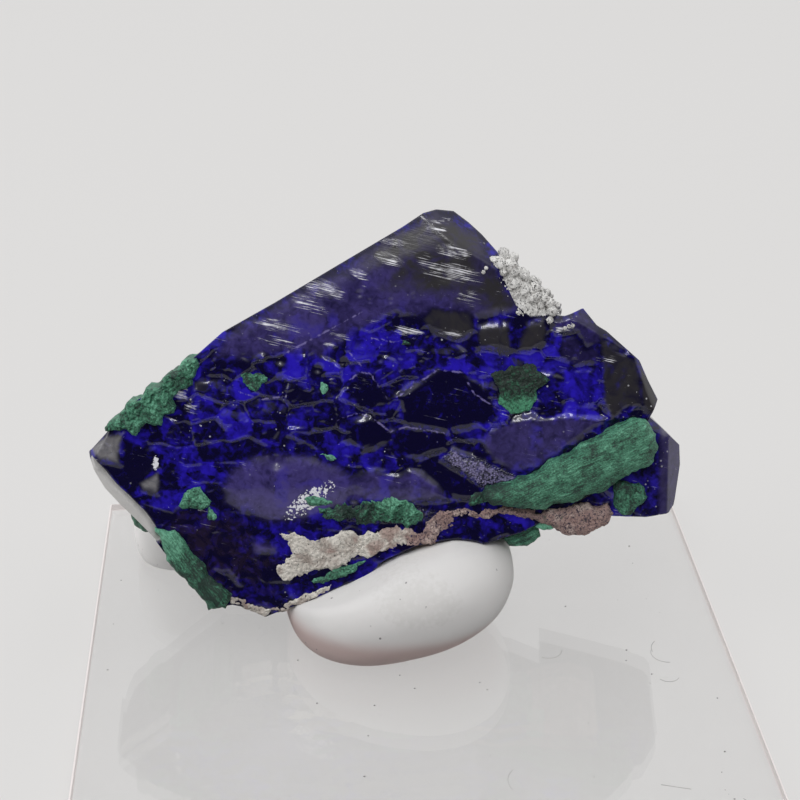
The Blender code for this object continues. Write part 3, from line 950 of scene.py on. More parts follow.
@dataclass(frozen=True)
class Facet:
    """A crystal top with its own outline, as it shows on the face.

    It is a flat top at a height, leaning by slope_x and slope_z, and a crown lifts its middle. The face
    draws the height towards FACET_LEVEL. Its border runs into what is round it over its margin and a
    little more.
    """

    points: list[Point]
    height: float
    slope_x: float
    slope_z: float
    tone: Tone
    strength: float = 1.0
    margin: float = 0.35
    crown: float = 0.0

    def relief(self, x: Array, z: Array) -> tuple[Array, Array]:
        """Its relief at each place, and how far inside the outline the place is.

        Args:
            x, z: places on the face.

        Returns:
            The relief, and the distance inside the outline.
        """
        outline = Outline(self.points)
        room = outline.room(x, z)
        middle_x = sum(p[0] for p in self.points) / len(self.points)
        middle_z = sum(p[1] for p in self.points) / len(self.points)
        top = self.height + self.slope_x * (x - middle_x) + self.slope_z * (z - middle_z)
        top = top + self.crown * (1 - np.exp(-np.maximum(room, 0) / 2.5))
        return top, room


@dataclass(frozen=True)
class Block:
    """A blocky crystal: its middle, half sizes, turn, height and the tilt of its top, as in the solids."""

    x: float
    z: float
    half_x: float
    half_z: float
    turn: float
    height: float
    tilt_x: float = 0.0
    tilt_z: float = 0.0
    corner: float = 0.3

    def relief(self, x: Array, z: Array, outward: int = -1) -> Array:
        """The lowest of its tilted top, its four leaning sides and its four cut corners at each place.

        Args:
            x, z: places on the face.
            outward: -1 on the front and 1 on the back, which mirrors it.

        Returns:
            The height at each place.
        """
        c, s = math.cos(math.radians(self.turn)), math.sin(math.radians(self.turn))
        away_x = (x - self.x) * -outward
        a, b = away_x * c + (z - self.z) * s, (z - self.z) * c - away_x * s
        slope_x, slope_z = math.tan(math.radians(self.tilt_x)), math.tan(math.radians(self.tilt_z))
        top = self.height - slope_x * a - slope_z * b
        for side in (-1, 1):
            top = np.minimum(top, (self.half_x - side * (a + 0.1 * b)) / 0.55)
            top = np.minimum(top, (self.half_z - side * (b + 0.12 * a)) / 0.60)
        reach = self.half_x * self.half_z * (2 - self.corner)
        for side_x in (-1, 1):
            for side_z in (-1, 1):
                cut = reach - side_x * self.half_z * a - side_z * self.half_x * b
                top = np.minimum(top, cut / (0.3 * self.half_z))
        return top


def crowd(
    left: float, right: float, low: float, high: float, columns: int, rows: int, seed: int, size: float
) -> list[Block]:
    """Crystals on a shaken grid, each with its own size, turn, height and tilt.

    Args:
        left, right, low, high: the room that they fill.
        columns, rows: how many stand each way.
        seed: which crystals to give.
        size: about half a crystal's width.

    Returns:
        The crystals.
    """
    chance = random.Random(seed)
    step_x, step_z = (right - left) / columns, (high - low) / rows
    found = []
    for row in range(rows):
        for column in range(columns):
            shift = 0.5 * (row % 2)
            x = left + (column + 0.5 + shift * 0.6 + chance.uniform(-0.22, 0.22)) * step_x
            z = low + (row + 0.5 + chance.uniform(-0.2, 0.2)) * step_z
            found.append(Block(
                x, z,
                size * chance.uniform(0.70, 1.05), size * chance.uniform(0.55, 0.85),
                chance.uniform(-40.0, 40.0), chance.uniform(0.5, 1.3),
                chance.uniform(-14.0, 14.0), chance.uniform(-8.0, 14.0),
                chance.uniform(0.25, 0.5),
            ))
    return found


@dataclass
class StoneFace:
    """The relief of the stone's face and what each place of it looks like.

    Crystal tops of both sizes stand on the level, and away from the tilted middle band only calm_share of
    their relief is left. A pit is pit_share of its radius deep, and is painted dark inside as shade. A glow
    is
    a painted glow of light coming through: an amount, a middle, half sizes and a turn, and the banded ones
    fade away from the band. A glitter is a crowd of painted glints: a middle, half sizes, a turn and an
    amount. The drusy patch ends with its amount, the stain with its turn.
    """

    terraces: list[tuple[list[Point], float]] = field(default_factory=lambda: [
        ([(-30.0, 5.5), (-26.8, 10.0), (-7.9, 21.0), (5.4, 28.5), (12.0, 25.0), (18.0, 14.0), (10.0, 12.0),
          (-1.0, 13.0), (-6.0, 11.0), (-12.0, 7.0), (-18.0, 7.2)], 0.85),
        ([(-25.6, 9.2), (-8.1, 20.7), (5.3, 28.2), (11.5, 24.7), (14.5, 19.5), (4.0, 17.5), (-6.0, 17.6),
          (-14.0, 11.5), (-20.0, 10.1)], 1.05),
        ([(-19.6, 13.4), (-8.2, 20.3), (5.2, 27.8), (11.0, 24.3), (9.0, 21.5), (-4.0, 20.2)], 1.25),
    ])
    facets: list[Facet] = field(default_factory=lambda: [
        Facet([(-42.4, -5.3), (-40.5, -6.8), (-37.5, -7.6), (-36.6, -10.3), (-40.1, -12.4), (-41.5, -15.0),
               (-44.1, -12.2), (-45.6, -10.3), (-43.0, -10.1)], 0.81, 0.05, 0.05, Tone.DEEP),
        Facet([(-27.6, -13.4), (-26.2, -11.0), (-24.4, -9.4), (-22.2, -8.4), (-17.8, -8.4), (-13.1, -8.7),
               (-9.6, -10.2), (-6.8, -12.0), (-6.2, -14.0), (-8.5, -16.4), (-15.5, -18.7), (-20.0, -18.8),
               (-24.2, -17.6), (-26.8, -15.8)], 0.45, 0.01, 0.08, Tone.VIOLET, 0.95, 1.30, 1.2),
        Facet([(-8.0, -12.5), (-5.0, -10.8), (0.0, -11.3), (3.0, -9.9), (6.1, -12.8), (7.4, -15.2),
               (0.0, -15.9), (-7.5, -15.6)], 1.12, 0.05, 0.10, Tone.VIOLET, 0.75, 0.35, 0.3),
        Facet([(0.0, 0.9), (5.8, 4.8), (9.8, 4.3), (11.9, 3.1), (15.3, -1.5), (14.6, -3.1), (7.7, -4.7),
               (0.8, -3.9)], 1.12, -0.05, -0.05, Tone.DEEP),
        Facet([(-1.6, -5.2), (1.0, -4.2), (6.8, -5.2), (7.4, -7.4), (3.0, -9.0), (-0.6, -8.4)],
              0.93, 0.03, -0.04, Tone.DEEP, 0.75),
        Facet([(-7.8, -3.6), (-4.6, -2.2), (-2.2, -3.6), (-2.2, -6.4), (-6.0, -7.8), (-8.6, -6.0)],
              0.93, -0.04, 0.0, Tone.DEEP, 0.7),
        Facet([(12.1, -5.7), (15.0, -3.9), (18.3, -2.9), (24.0, -2.2), (31.6, -2.9), (27.0, -6.2),
               (21.6, -10.1), (17.5, -11.5), (14.0, -9.0)], 1.18, 0.02, 0.09, Tone.VIOLET, 0.75),
        Facet([(-48.0, -7.6), (-45.1, -5.0), (-42.4, -5.3), (-43.0, -9.9), (-46.2, -9.1)],
              0.99, 0.22, -0.10, Tone.PALE, 0.42),
        Facet([(22.8, 12.3), (28.1, 13.9), (30.4, 11.0), (30.7, 9.0), (28.4, 8.2), (26.8, 10.4),
               (23.8, 10.3)], 1.3, -0.12, -0.06, Tone.VIOLET, 0.55),
        Facet([(24.2, 9.6), (26.8, 10.2), (28.2, 8.0), (30.4, 8.6), (30.6, 5.8), (26.4, 5.2), (24.0, 6.6)],
              0.99, 0.04, -0.04, Tone.VIOLET, 0.40),
        Facet([(11.5, 9.3), (12.0, 10.7), (13.5, 11.7), (16.8, 12.0), (16.8, 8.0), (11.8, 8.2)],
              1.06, 0.05, -0.12, Tone.SLATE, 0.9),
        Facet([(17.9, 7.8), (19.1, 11.7), (21.8, 12.3), (22.6, 11.0), (22.1, 9.0), (19.8, 7.5)],
              1.18, 0.08, -0.10, Tone.SLATE, 0.9),
        Facet([(3.0, 12.3), (4.8, 14.4), (10.5, 13.7), (11.5, 11.0), (10.1, 10.0), (8.5, 9.3), (4.8, 11.0)],
              1.06, 0.02, -0.12, Tone.SLATE, 0.9),
        Facet([(-6.1, 4.3), (-4.5, 4.1), (-2.8, 1.6), (-1.8, 0.0), (-4.1, -0.7), (-8.0, 0.0), (-8.4, 2.6)],
              0.93, 0.05, -0.05, Tone.DEEP),
        Facet([(21.1, -0.2), (23.1, 1.4), (24.8, 1.6), (25.4, 0.1), (24.8, -1.9), (22.4, -2.9), (21.1, -2.3)],
              0.99, 0.04, -0.06, Tone.DEEP, 0.8, 0.35, 0.3),
        Facet([(25.2, 4.6), (30.0, 5.0), (30.4, 1.6), (29.6, -0.8), (27.0, -1.2), (25.6, 1.0)],
              1.06, 0.08, -0.02, Tone.GLOW, 0.6),
        Facet([(30.4, 9.5), (36.4, 6.0), (37.0, -0.8), (34.9, -0.9), (32.5, -3.1), (31.0, -0.5), (30.6, 4.0)],
              1.43, -0.05, -0.06, Tone.SLATE, 0.8),
        Facet([(36.6, 6.1), (39.6, 0.0), (38.6, -2.4), (37.0, -0.8)],
              1.06, -0.40, -0.05, Tone.SLATE, 1.1),
        Facet([(-19.6, 5.6), (-18.6, 6.8), (-17.2, 6.5), (-17.2, 4.9), (-18.4, 4.3)],
              0.93, 0.0, -0.05, Tone.DEEP, 0.9),
        Facet([(-14.2, 3.6), (-13.6, 5.4), (-12.2, 5.8), (-11.4, 4.4), (-12.2, 3.0)],
              0.93, 0.03, -0.05, Tone.DEEP, 0.9),
        Facet([(-7.4, 3.9), (-5.8, 4.7), (-3.8, 4.3), (-3.7, 2.8), (-5.6, 2.1), (-7.0, 2.6)],
              0.99, 0.03, -0.06, Tone.DEEP, 0.9),
        Facet([(-23.1, -21.6), (-19.0, -22.4), (-19.0, -23.8), (-22.8, -24.1)],
              0.87, 0.03, 0.12, Tone.VIOLET, 0.9),
        Facet([(-40.1, -12.7), (-36.8, -10.5), (-36.9, -13.4), (-37.3, -14.3), (-39.7, -13.9)],
              0.99, 0.06, -0.10, Tone.PALE, 0.42),
        Facet([(-28.8, -26.6), (-26.4, -26.8), (-24.4, -29.4), (-25.6, -30.4), (-27.4, -28.4)],
              0.44, 0.0, 0.0, Tone.DEEP),
        Facet([(2.0, -10.4), (5.0, -8.2), (12.9, -13.8), (12.0, -15.6), (7.5, -14.6)],
              0.56, 0.03, -0.06, Tone.DEEP, 0.8),
        Facet([(6.3, -9.1), (8.3, -7.6), (12.4, -9.4), (17.6, -11.6), (18.5, -12.4), (16.0, -13.2),
               (12.9, -13.6)], 0.93, 0.0, 0.05, Tone.DRUSY),
    ])
    sliver: list[Point] = field(default_factory=lambda: [
        (-47.4, -8.6), (-43.9, -12.6), (-40.6, -15.8), (-38.2, -18.8), (-36.7, -21.6), (-38.2, -22.0),
        (-41.2, -19.0), (-43.6, -16.8), (-46.2, -13.6), (-47.8, -10.8),
    ])
    cuts: list[Cut] = field(default_factory=lambda: [
        Cut((-46.2, 0.0, -6.5), (-0.72, -0.55, 0.42)),
        Cut((0.0, 0.0, 26.0), (-0.10, -0.97, 0.20)),
        Cut((36.8, 0.0, 5.4), (0.75, -0.60, 0.30)),
        Cut((30.0, 0.0, 11.4), (0.42, -0.62, 0.66)),
    ])
    # Pits: a middle and a radius. They are painted deep inside, as shade in the hollow.
    pits: list[tuple[float, float, float]] = field(default_factory=lambda: [
        (-6.1, 16.4, 0.8), (-4.6, 15.3, 0.45), (-1.4, 15.3, 0.6), (-0.5, 13.5, 0.5), (2.0, 16.1, 0.5),
        (-2.9, 6.5, 0.7), (-5.5, 2.9, 0.6), (3.2, 6.8, 0.9), (-18.2, 6.2, 1.0), (-12.5, 4.9, 0.8),
        (-8.6, 5.9, 1.0), (-18.9, -9.5, 1.5), (-6.9, -14.6, 1.4), (26.6, 6.2, 0.6),
    ])
    # Cracks, painted as pale highlight lines.
    cracks: list[list[Point]] = field(default_factory=lambda: [
        [(-17.8, 7.1), (-12.4, 10.0), (-8.0, 12.4), (-5.8, 13.6)], [(-8.4, 8.5), (-7.0, 6.6), (-5.8, 5.3)],
        [(-8.4, 2.6), (-6.1, 4.4), (-4.5, 4.2), (-2.8, 1.6), (-1.7, 0.0)],
        [(-1.7, 0.0), (0.0, 0.9), (5.8, 4.8), (9.8, 4.3)],
        [(-9.6, -3.0), (-6.6, -2.0), (-4.2, -2.6), (-1.8, -4.6)],
        [(-2.0, -5.0), (1.0, -4.0), (6.8, -5.0)], [(10.0, 3.4), (11.4, 1.0), (15.3, -1.5)],
        [(-4.4, 9.6), (-1.0, 9.0), (2.4, 9.6)], [(-24.6, 1.4), (-21.0, 0.2), (-17.0, 0.8)],
    ])
    # Where white glints are painted on the striae: a middle, half sizes and a turn.
    streaks: list[tuple[Point, Point, float]] = field(default_factory=lambda: [
        ((5.9, 27.2), (2.2, 0.8), 0.0), ((5.6, 25.9), (2.0, 0.6), 0.0), ((8.6, 19.4), (4.6, 1.7), -12.0),
        ((4.4, 20.6), (2.2, 1.6), -24.0), ((10.6, 15.6), (2.2, 1.6), -10.0), ((-1.2, 24.0), (2.2, 0.6), -6.0),
        ((-1.6, 21.4), (2.6, 1.0), -18.0), ((-11.4, 16.8), (4.2, 1.6), -18.0),
        ((-13.6, 14.6), (3.4, 1.4), -18.0),
        ((-18.2, 11.4), (4.2, 1.1), -8.0), ((-18.6, 9.0), (4.2, 0.9), -16.0), ((0.6, 10.7), (3.8, 0.8), -5.0),
        ((7.7, 10.3), (2.2, 0.6), -4.0), ((-9.2, 10.0), (2.2, 0.8), -16.0), ((-10.6, 8.6), (1.2, 0.5), -8.0),
        ((31.6, 6.4), (2.0, 0.7), -6.0), ((24.6, 11.0), (2.0, 0.6), 6.0), ((-33.6, 1.2), (1.6, 1.3), -24.0),
        ((-31.8, -1.2), (1.4, 1.2), -30.0), ((8.2, 22.6), (3.0, 1.2), -10.0),
        ((-6.0, 19.2), (2.0, 0.7), -20.0),
    ])

    level: float = 0.62
    large_top: float = 4.4
    small_top: float = 1.9
    small_relief: float = 1.1
    calm_share: float = 0.08
    band_middle: float = 1.0
    band_tilt: float = 0.10
    band_half: float = 9.5
    pit_share: float = 0.3
    drusy_and_sheen: tuple[Point, Point, float] = ((-2.0, -17.6), (9.0, 1.6), 0.8)
    stain: tuple[Point, Point, float] = ((-27.5, -25.5), (12.0, 8.5), -40.0)
    # Crowds of painted glints.
    glitters: tuple[tuple[Point, Point, float, float], ...] = (
        ((-13.9, -15.4), (5.2, 1.7), 36.0, 1.0), ((-37.5, -9.6), (0.6, 1.3), 0.0, 1.4),
    )
    # Spots of painted glow, light coming through the crystal.
    banded_glows: tuple[tuple[float, Point, Point, float], ...] = (
        (-0.45, (1.0, -3.0), (14.0, 8.0), 0.0), (0.35, (26.0, 3.0), (9.0, 9.0), 0.0),
        (0.30, (-25.0, -24.0), (14.0, 9.0), -20.0),
    )
    free_glows: tuple[tuple[float, Point, Point, float], ...] = (
        (0.5, (-29.0, -10.0), (9.0, 9.0), 0.0), (0.8, (13.0, -19.6), (9.0, 2.2), 4.0),
    )

    def clamp_cuts(self, relief: Array, x: Array, z: Array) -> Array:
        """Keeps the relief behind every flat cut of the face.

        Args:
            relief: the relief so far.
            x, z: places on the face.

        Returns:
            The relief, cut.
        """
        for cut in self.cuts:
            relief = soft_min(relief, -cut.depth(x, z), 0.5)
        return relief

    def relief(self, x: Array, z: Array) -> Array:
        """The relief of the whole face at each place."""
        return self.survey(x, z)["relief"]

    def survey(self, x: Array, z: Array) -> dict[str, Array]:
        """Works out the relief and the looks of the face.

        Flat crystal tops in two sizes stand on a wavy base. The terraces and the facets, each with its own
        height, take their place within their outlines. Pits are sunk last.

        Args:
            x, z: places on the face.

        Returns:
            The relief, and a number from 0 to 1 for each look.
        """
        wander, soft = rough(x, z, 91, 7.0, 3), rough(x, z, 92, 2.4, 3)
        band = np.exp(-(((z - self.band_middle + self.band_tilt * x) / self.band_half) ** 2))
        large, key, own = mosaic(x + 0.35 * soft, z * 1.25, 3, self.large_top)
        small, key_small, own_small = mosaic(x + 0.12 * soft, z * 1.2, 8, self.small_top)
        tops = large * self.large_top + small * self.small_relief
        relief = self.level + 0.25 * rough(x, z, 17, 9.0, 2)
        relief = relief + tops * (self.calm_share + (1 - self.calm_share) * band)
        dark = ease(key, 0.50, 0.58) * (0.6 + 0.4 * key_small)
        dark = np.maximum(dark, 0.75 * ease(key_small, 0.60, 0.68))
        joint = np.maximum(1 - ease(own, 0.55, 0.85), 0.6 * (1 - ease(own_small, 0.55, 0.80)))
        joint = joint * (0.15 + 0.85 * band)
        looks = {tone: np.zeros(x.shape) for tone in Tone}
        looks[Tone.DRUSY] = self.drusy_and_sheen[2] * spot(x, z, *self.drusy_and_sheen[:2])
        smooth = np.zeros(x.shape)
        for index, (points, height) in enumerate(self.terraces):
            room = Outline(points).room(x, z) + 0.7 * soft
            flat = height + 0.05 * rough(x, z, 60 + index, 12.0, 2)
            inside = ease(room, -1.2, 1.6)
            share = inside * (1.0 if index else ease(room, -0.8, 0.8))
            relief = relief + (flat - relief) * share
            smooth = np.maximum(smooth, share)
            joint = joint * (1 - share)
            # Painted reflections on the terraces: a violet sheen all over, and a grey sheen growing towards
            # the top and the right.
            looks[Tone.VIOLET] = np.maximum(looks[Tone.VIOLET], inside * (0.78 + 0.30 * wander))
            charcoal = ease(z + 0.45 * x + 9 * wander + 5 * soft, 11.0, 28.0)
            looks[Tone.SLATE] = np.maximum(looks[Tone.SLATE], inside * charcoal * 0.95)
        dark = dark * (1 - smooth)
        for facet in self.facets:
            raised, room = facet.relief(x, z)
            room = room + 0.40 * rough(x, z, 71, 1.8, 3) * min(1.0, facet.margin * 2)
            raised = FACET_LEVEL + (raised - FACET_LEVEL) * FACET_SHARE
            spread = facet.margin + 0.45
            relief = relief + (raised - relief) * ease(room, -spread, spread)
            # A painted glow of light coming through, in a ring just outside each deep facet.
            halo = ease(room, -2.0, -0.3) * (1 - ease(room, -0.3, 0.3)) * (facet.tone is Tone.DEEP)
            looks[Tone.GLOW] = np.maximum(looks[Tone.GLOW], 0.16 * halo)
            # Facet rims join the joints, where edge highlights are painted.
            rim = 1 - ease(np.abs(room), 0.05, 0.28)
            joint = np.maximum(joint * (1 - ease(room, -0.2, 0.2)), rim * (facet.tone is not Tone.PALE))
            inside = ease(room, -facet.margin - 0.1, facet.margin + 0.5)
            for tone in Tone:
                kept = facet.strength if tone is facet.tone else 0.0
                looks[tone] = looks[tone] * (1 - inside) + kept * inside
            smooth, dark = np.maximum(smooth, inside), dark * (1 - inside)
        # The sliver is painted pale and streaked, as a reflection of the pale floor.
        side = ease(Outline(self.sliver).room(x, z) + 0.15 * soft, -0.15, 0.15)
        streaked = 0.95 + 0.3 * rough(x * 0.6 + z, z - x, 44, 1.6, 3)
        looks[Tone.PALE] = looks[Tone.PALE] * (1 - side) + side * streaked
        sunk = 0.9 * np.maximum(Outline(self.sliver).room(x, z), 0)
        relief = relief * (1 - side) + side * np.minimum(relief, sunk)
        looks[Tone.BROWN] = np.sqrt(spot(x, z, *self.stain)) * (1 - smooth)
        for pit_x, pit_z, radius in self.pits:
            hole = np.clip(1 - np.hypot(x - pit_x, z - pit_z) / radius + 0.2 * soft, 0, 1)
            relief = relief - self.pit_share * radius * hole
            # Inside a pit the colour is painted deep, as shade in the hollow.
            looks[Tone.DEEP] = np.maximum(looks[Tone.DEEP], ease(hole, 0.05, 0.4))
        relief = relief + 0.02 * (1 - smooth) * rough(x, z, 23, 1.3, 3) + 0.015 * rough(x, z, 29, 2.5, 3)
        relief = self.clamp_cuts(relief, x, z)
        found = {tone.value: looks[tone] for tone in Tone}
        return {"relief": relief, "smooth": smooth, "dark": dark, "band": band, "joint": joint, **found}


def grow_back() -> list[Block]:
    """The larger crystals of the back, as in the solids."""
    return crowd(-33.0, 33.0, -17.0, 12.0, 9, 5, 5, 5.6)


@dataclass
class Azurite:
    """The azurite: the slab with its right crystal, and the block at its lower right."""

    outline: Outline = Outline([
        (-48.0, -8.2), (-45.0, -5.0), (-41.4, -0.6), (-37.5, 1.6), (-34.0, 4.2), (-31.0, 7.0), (-27.0, 10.5),
        (-19.0, 15.0), (-8.0, 21.5), (0.5, 26.5), (3.5, 28.5), (5.5, 29.0), (8.2, 28.7), (10.5, 27.0),
        (12.5, 25.2), (15.0, 22.4), (15.6, 18.8), (17.6, 14.6), (19.8, 12.9), (22.5, 13.2), (25.0, 13.0),
        (28.0, 14.0), (30.0, 11.5), (31.5, 10.6), (36.6, 6.1), (38.0, 3.0), (39.6, 0.0), (38.0, -3.0),
        (34.0, -12.0), (27.0, -16.0), (19.0, -20.5), (8.0, -24.0), (-8.0, -28.5), (-14.0, -31.4),
        (-18.5, -33.0), (-21.0, -34.0), (-23.0, -32.6), (-26.0, -32.0), (-29.4, -32.6), (-36.6, -23.5),
        (-38.2, -21.2), (-40.8, -18.4), (-43.1, -16.1), (-45.4, -13.6), (-47.0, -10.8),
    ])
    block_outline: Outline = Outline([
        (27.0, -8.0), (30.0, -4.6), (38.6, -2.9), (40.3, -4.4), (43.5, -7.5), (43.6, -10.5), (42.6, -16.5),
        (41.6, -17.6), (38.0, -18.2), (30.0, -17.9), (24.0, -17.5),
    ])
    arch_centre: Point = (7.5, -38.0)
    arch_radius: float = 17.0
    arch_reach: float = 30.0
    block_cuts: tuple[Cut, ...] = (
        Cut((41.4, 0.0, -12.0), (0.80, -0.60, 0.0)), Cut((40.6, 0.0, -5.2), (0.35, -0.55, 0.76)),
    )
    block_back: Cut = Cut((38.0, STONE_BACK - 3.0, -10.0), (0.35, 1.0, 0.10))
    back_cuts: tuple[Cut, ...] = (
        Cut((0.0, STONE_BACK, -30.0), (0.0, 1.0, BACK_THINNING)),
        Cut((0.0, STONE_BACK - 4.0, -34.0), (0.0, 0.75, -0.66)),
        Cut((-26.0, 10.5, 10.5), (-0.45, 0.75, 0.48)),
        Cut((-33.4, STONE_BACK - 5.0, -28.4), (-0.70, 0.40, -0.59)),
        Cut((38.0, 9.0, 2.0), (0.60, 1.0, 0.30)),
    )
    grid: SlabGrid = SlabGrid(372, 210, 40, 8, 0.17)
    block_grid: SlabGrid = SlabGrid(90, 90, 24, 10)
    face: StoneFace = field(default_factory=StoneFace)

    def arch(self, x: Array, y: Array) -> Array:
        """The top of the ball-shaped hollow under the lower edge at (x, y).

        Args:
            x, y: places under the stone.

        Returns:
            The height of the hollow at each place.
        """
        across = ((x - self.arch_centre[0]) / self.arch_radius) ** 2
        along = ((y - STONE_BACK / 2) / self.arch_reach) ** 2
        left = np.maximum(1 - across - along, 0.0)
        ragged = 0.5 * rough(x, y, 33, 3.0, 3)
        return self.arch_centre[1] + self.arch_radius * np.sqrt(left) + ragged

    def back_depth(self, x: Array, z: Array) -> Array:
        """The depth of the back: the nearest of its flat cuts, with blocky crystals standing on it.

        Args:
            x, z: places on the face.

        Returns:
            The depth at each place.
        """
        depth = np.full(x.shape, 99.0)
        for cut in self.back_cuts:
            depth = np.minimum(depth, cut.depth(x, z))
        crowned = depth
        for block in grow_back():
            surface = STONE_BACK - BACK_THINNING * (block.z + 30.0) - 1.2
            crowned = np.maximum(crowned, surface + block.relief(x, z, 1))
        edge = ease(self.outline.room(x, z), 0.0, 2.5)
        crowned = depth + (crowned - depth) * edge
        return crowned + 0.12 * rough(x, z, 12, 1.6, 4) * edge

    def channels(self, rings: Array, faced: Array, relief_grid: Array) -> dict[str, Array]:
        """Numbers for the finish at each point.

        Args:
            rings: the rings in the face frame.
            faced: 1 on the face and 0 elsewhere.
            relief_grid: the relief on the whole grid.

        Returns:
            The channels, flat, with two more numbers for the two poles.
        """
        x, z = rings[..., 0], rings[..., 2]
        looks = self.face.survey(x, z)
        bend = np.zeros(x.shape)
        rise = relief_grid[1:-1, 1:-1] * 4 - relief_grid[2:, 1:-1] - relief_grid[:-2, 1:-1]
        bend[1:-1, 1:-1] = rise - relief_grid[1:-1, 2:] - relief_grid[1:-1, :-2]
        # Painted glow of light through the crystal: more in the band and glow spots, less on dark crystals
        # and stain.
        zone = 0.74 + 0.45 * rough(x, z, 77, 7.5, 3) + 0.35 * rough(x, z, 78, 1.9, 3)
        for amount, centre, half, turn in self.face.banded_glows:
            zone = zone + amount * spot(x, z, centre, half, turn)
        zone = zone * (0.55 + 0.55 * looks["band"])
        for amount, centre, half, turn in self.face.free_glows:
            zone = zone + amount * spot(x, z, centre, half, turn)
        zone = zone * (1 - 0.80 * looks["dark"]) * (1 - 0.6 * looks["brown"])
        # On smooth faces the painted glow comes in ragged patches, more of them low down.
        patch = 0.85 * ease(rough(x, z, 66, 2.6, 4), -0.05, 0.6) * ease(13.0 - z - 0.25 * x, -9.0, 6.0)
        glow = np.clip(zone, 0, 1.3) * (1 - looks["smooth"]) + patch * looks["smooth"] + looks["glow"]
        glow = glow * (1 - np.clip(looks["deep"], 0, 1) * 0.93) * (1 - np.clip(looks["pale"] * 2.2, 0, 1))
        # Where the striae get painted white glints.
        streak = np.zeros(x.shape)
        for centre, half, turn in self.face.streaks:
            streak = np.maximum(streak, np.sqrt(spot(x, z, centre, half, turn)))
        # Painted highlights: pale lines along the cracks.
        crack = np.zeros(x.shape)
        for line in self.face.cracks:
            crack = np.maximum(crack, 1 - ease(near_line(x, z, line), 0.05, 0.32))
        # Crowds of painted glints.
        glitter = np.zeros(x.shape)
        for centre, half, turn, amount in self.face.glitters:
            glitter = np.maximum(glitter, np.sqrt(spot(x, z, centre, half, turn)) * amount)
        # Single painted glints, more of them in the band.
        sparkle = ease(rough(x, z, 5, 6.0, 2), -0.4, 0.6) * (0.3 + 0.7 * looks["band"])
        # Painted highlights: pale where the relief bends outward, in broken stretches, and on the joints
        # between crystals.
        broken = ease(rough(x, z, 55, 3.0, 2), -0.2, 0.7)
        jointed = 0.45 * looks["joint"] * ease(rough(x, z, 56, 1.2, 3), 0.0, 0.7)
        edge_highlight = np.clip(bend * 3.0, 0, 1) * broken + jointed
        # Glow is painted light; violet, slate and pale are painted reflections, slate also on walls and back;
        # ridge is painted highlight.
        found = {
            "glow": glow * (0.35 + 0.65 * faced), "violet": looks["violet"] * faced,
            "slate": looks["slate"] * faced + 0.25 * (1 - faced), "drusy": looks["drusy"] * faced,
            "ridge": np.clip(edge_highlight * (0.5 + 0.5 * looks["band"]), 0, 1) * faced,
            "streak": streak * faced, "crack": crack * faced,
            "glitter": glitter * faced, "sparkle": sparkle, "brown": looks["brown"] * faced,
            "pale": looks["pale"] * faced,
        }
        flat = {name: np.append(values.ravel(), [0.0, 0.0]) for name, values in found.items()}
        flat["grain"] = np.concatenate([rings.reshape(-1, 3), rings[[0, -1], 0]])
        return flat

    def build_slab(self, finish: bpy.types.Material) -> bpy.types.Object:
        """The slab: its relief in front, blocky crystals behind, hollowed below.

        Args:
            finish: its material.

        Returns:
            The new piece.
        """
        rings, faced = slab_rings(
            self.outline, lambda x, z: -self.face.relief(x, z), self.back_depth, self.grid, self.arch
        )
        relief = np.where(faced > 0, -rings[..., 1], 0.0)
        channels = self.channels(rings, faced, relief)
        rough_wall = (1 - faced)[..., None] * 0.12
        shake = np.stack([rough(rings[..., 1], rings[..., 2], 4 + n, 2.0, 3) for n in range(3)], -1)
        points, faces = closed_loft(STANCE.place(rings + rough_wall * shake))
        piece = make_piece("azurite_slab", points, faces, channels)
        piece.data.materials.append(finish)
        return piece

    def build_block(self, finish: bpy.types.Material) -> bpy.types.Object:
        """The block at the lower right: a prism with a flat side face and a flat top face.

        Args:
            finish: its material.

        Returns:
            The new piece.
        """

        def front(x: Array, z: Array) -> Array:
            """The depth of its front: a nearly flat face, cut by its side and its lid.

            Args:
                x, z: places on the face.

            Returns:
                The depth at each place.
            """
            depth = np.full(x.shape, -0.3) + 0.8 * ease(-x, -34.0, -28.0)
            for cut in self.block_cuts:
                depth = np.maximum(depth, cut.depth(x, z))
            nearest, second, key = cells(x, z, 14, 2.6)
            return depth - 0.35 * key * np.sqrt(np.clip((second - nearest) * 2, 0, 1)) * ease(-x, -41, -36)

        def back(x: Array, z: Array) -> Array:
            """The depth of its back: one flat cut."""
            return self.block_back.depth(x, z)

        rings, faced = slab_rings(self.block_outline, front, back, self.block_grid)
        x, z = rings[..., 0], rings[..., 2]
        side = ease(x, 39.4, 40.6) * faced
        lid = ease(z - 0.9 * (x - 40.6), -6.6, -5.2) * side
        # Painted: glow but on the side face, violet and grey sheen stronger there, a pale lid as the lighter
        # top, and glints.
        found = {
            "glow": 0.40 * faced * (1 - side), "violet": (0.50 * side + 0.25) * faced, "pale": 0.26 * lid,
            "slate": 0.45 * side + 0.2 * (1 - faced), "sparkle": faced * 0.4,
        }
        channels = {name: np.append(values.ravel(), [0.0, 0.0]) for name, values in found.items()}
        channels["grain"] = np.concatenate([rings.reshape(-1, 3), rings[[0, -1], 0]])
        points, faces = closed_loft(STANCE.place(rings))
        piece = make_piece("azurite_right_block", points, faces, channels)
        piece.data.materials.append(finish)
        return piece

    def build(self) -> list[bpy.types.Object]:
        """Builds and dresses both pieces.

        Returns:
            The slab and the block.
        """
        finish = AzuriteFinish().material()
        pieces = [self.build_slab(finish), self.build_block(finish)]
        for piece in pieces:
            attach(piece, "root")
            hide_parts("azurite_mass")
        return pieces


# Malachite and matrix


class Habit(Enum):
    """How a mineral's surface grows."""

    FIBRES = "fibres"
    CRUMBS = "crumbs"
    RIBS = "ribs"
    GRAINS = "grains"


